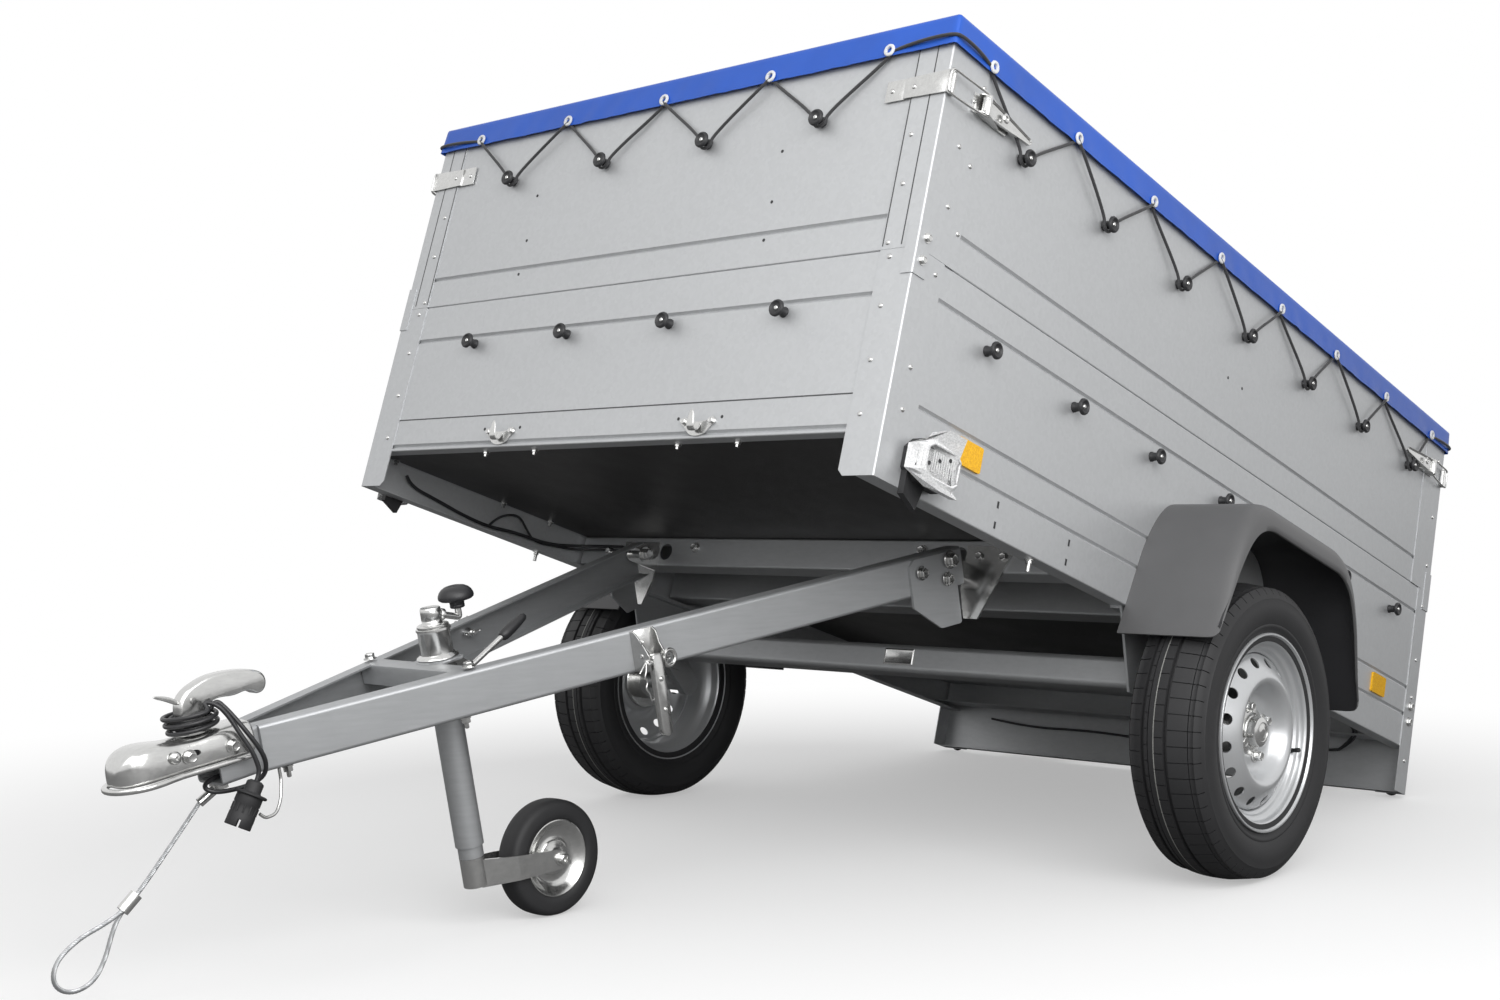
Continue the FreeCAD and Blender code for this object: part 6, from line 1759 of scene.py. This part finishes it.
def floor_finish():
    """Floor that looks white with the trailer's shadow, and sends little light up under it."""
    finish = Finish("floor_white", (0.93, 0.93, 0.93), 0.8)
    far = finish.add("ShaderNodeVectorMath", operation="LENGTH")
    finish.links.new(finish.place, far.inputs[0])
    ray = finish.add("ShaderNodeLightPath").outputs
    mirrored = finish.math("MAXIMUM", ray["Is Glossy Ray"], ray["Is Transmission Ray"])
    unseen = finish.mix(mirrored, (0.08, 0.08, 0.08), (0.20, 0.20, 0.20))
    finish.links.new(finish.mix(ray["Is Camera Ray"], unseen, (0.93, 0.93, 0.93)),
            finish.shader.inputs["Base Color"])

    def fade(near, end, seen):
        span = finish.add("ShaderNodeMapRange", interpolation_type="SMOOTHSTEP")
        span.inputs["From Min"].default_value = near
        span.inputs["From Max"].default_value = end
        finish.links.new(far.outputs["Value"], span.inputs["Value"])
        return finish.math("MULTIPLY", span.outputs["Result"], seen)

    glow = finish.add("ShaderNodeEmission", Strength=1.0)
    blend = finish.add("ShaderNodeMixShader")
    lifted = finish.math("MAXIMUM", fade(0.2, 3.2, ray["Is Camera Ray"]),
            finish.math("MULTIPLY", ray["Is Camera Ray"], 0.4))
    finish.links.new(finish.math("MAXIMUM", lifted, fade(5.0, 16.0, mirrored)), blend.inputs["Fac"])
    finish.links.new(finish.shader.outputs["BSDF"], blend.inputs[1])
    finish.links.new(glow.outputs["Emission"], blend.inputs[2])
    finish.links.new(blend.outputs["Shader"], finish.nodes["Material Output"].inputs["Surface"])
    return finish.material


def build_world(strength):
    world = bpy.data.worlds.new("studio")
    bpy.context.scene.world = world
    world.use_nodes = True
    nodes = world.node_tree.nodes
    links = world.node_tree.links
    light = nodes["Background"]
    light.inputs["Color"].default_value = (1, 1, 1, 1)
    light.inputs["Strength"].default_value = strength
    white = nodes.new("ShaderNodeBackground")
    white.inputs["Color"].default_value = (1, 1, 1, 1)
    ray = nodes.new("ShaderNodeLightPath").outputs
    seen = ray["Is Camera Ray"]
    for kind in ("Is Glossy Ray", "Is Transmission Ray"):
        either = nodes.new("ShaderNodeMath")
        either.operation = "MAXIMUM"
        links.new(seen, either.inputs[0])
        links.new(ray[kind], either.inputs[1])
        seen = either.outputs["Value"]
    mix = nodes.new("ShaderNodeMixShader")
    links.new(seen, mix.inputs["Fac"])
    links.new(light.outputs["Background"], mix.inputs[1])
    links.new(white.outputs["Background"], mix.inputs[2])
    links.new(mix.outputs["Shader"], nodes["World Output"].inputs["Surface"])


def add_lamp(name, place, aim, size, power):
    data = bpy.data.lights.new(name, "AREA")
    data.shape = "RECTANGLE"
    data.size, data.size_y = size
    data.energy = power
    lamp = linked(name, data)
    lamp.location = place
    lamp.rotation_euler = (Vector(aim) - Vector(place)).to_track_quat("-Z", "Y").to_euler()


camera_place = (2.85443, 2.3995, 0.7229)
camera_turn_deg = (89.8265, 0.7594, 132.4077)


class TRAILER_OT_stage(Operator):
    """Add the floor, the studio light and the camera"""
    bl_idname = "trailer.stage"
    bl_label = "Stage"

    def execute(self, context):
        stage = context.scene.trailer_stage
        context.scene.view_settings.view_transform = "Standard"
        build_world(stage.world_light)
        bpy.ops.mesh.primitive_plane_add(size=stage.floor_size)
        floor = context.active_object
        floor.name = "studio_floor"
        floor.data.materials.append(floor_finish())
        add_lamp("key", (1.9, 3.1, 2.1), (0.2, 0.5, 0.8), (3.2, 2.8), stage.key_light)
        add_lamp("front", (3.9, 0.9, 3.2), (0.5, 0.3, 0.8), (3.4, 3.4), stage.fill_light)
        camera = linked("camera", bpy.data.cameras.new("camera"))
        camera.data.sensor_width = 36
        camera.data.lens = stage.lens
        camera.location = camera_place
        camera.rotation_euler = [math.radians(angle) for angle in camera_turn_deg]
        context.scene.camera = camera
        return {"FINISHED"}


operators = [TRAILER_OT_finishes, TRAILER_OT_wheels, TRAILER_OT_guards, TRAILER_OT_cover, TRAILER_OT_lashing,
    TRAILER_OT_coupling, TRAILER_OT_cords, TRAILER_OT_bar_fittings, TRAILER_OT_jockey, TRAILER_OT_latches,
    TRAILER_OT_hardware, TRAILER_OT_underside, TRAILER_OT_lamps, TRAILER_OT_stage]


class TRAILER_PT_panel(Panel):
    bl_idname = "TRAILER_PT_panel"
    bl_label = "Utility Trailer"
    bl_space_type = "VIEW_3D"
    bl_region_type = "UI"
    bl_category = "Trailer"

    def draw(self, context):
        for operator in operators:
            self.layout.operator(operator.bl_idname)


groups = {"trailer_colours": TrailerColours, "trailer_wheels": TrailerWheels, "trailer_cover": TrailerCover,
    "trailer_cords": TrailerCords, "trailer_stage": TrailerStage}


def register():
    for group in groups.values():
        bpy.utils.register_class(group)
    for name, group in groups.items():
        setattr(bpy.types.Scene, name, PointerProperty(type=group))
    for operator in operators:
        bpy.utils.register_class(operator)
    bpy.utils.register_class(TRAILER_PT_panel)


def unregister():
    bpy.utils.unregister_class(TRAILER_PT_panel)
    for operator in reversed(operators):
        bpy.utils.unregister_class(operator)
    for name in groups:
        delattr(bpy.types.Scene, name)
    for group in groups.values():
        bpy.utils.unregister_class(group)


def main():
    register()
    for operator in operators:
        area, name = operator.bl_idname.split(".")
        getattr(getattr(bpy.ops, area), name)()


if __name__ == "__main__":
    main()
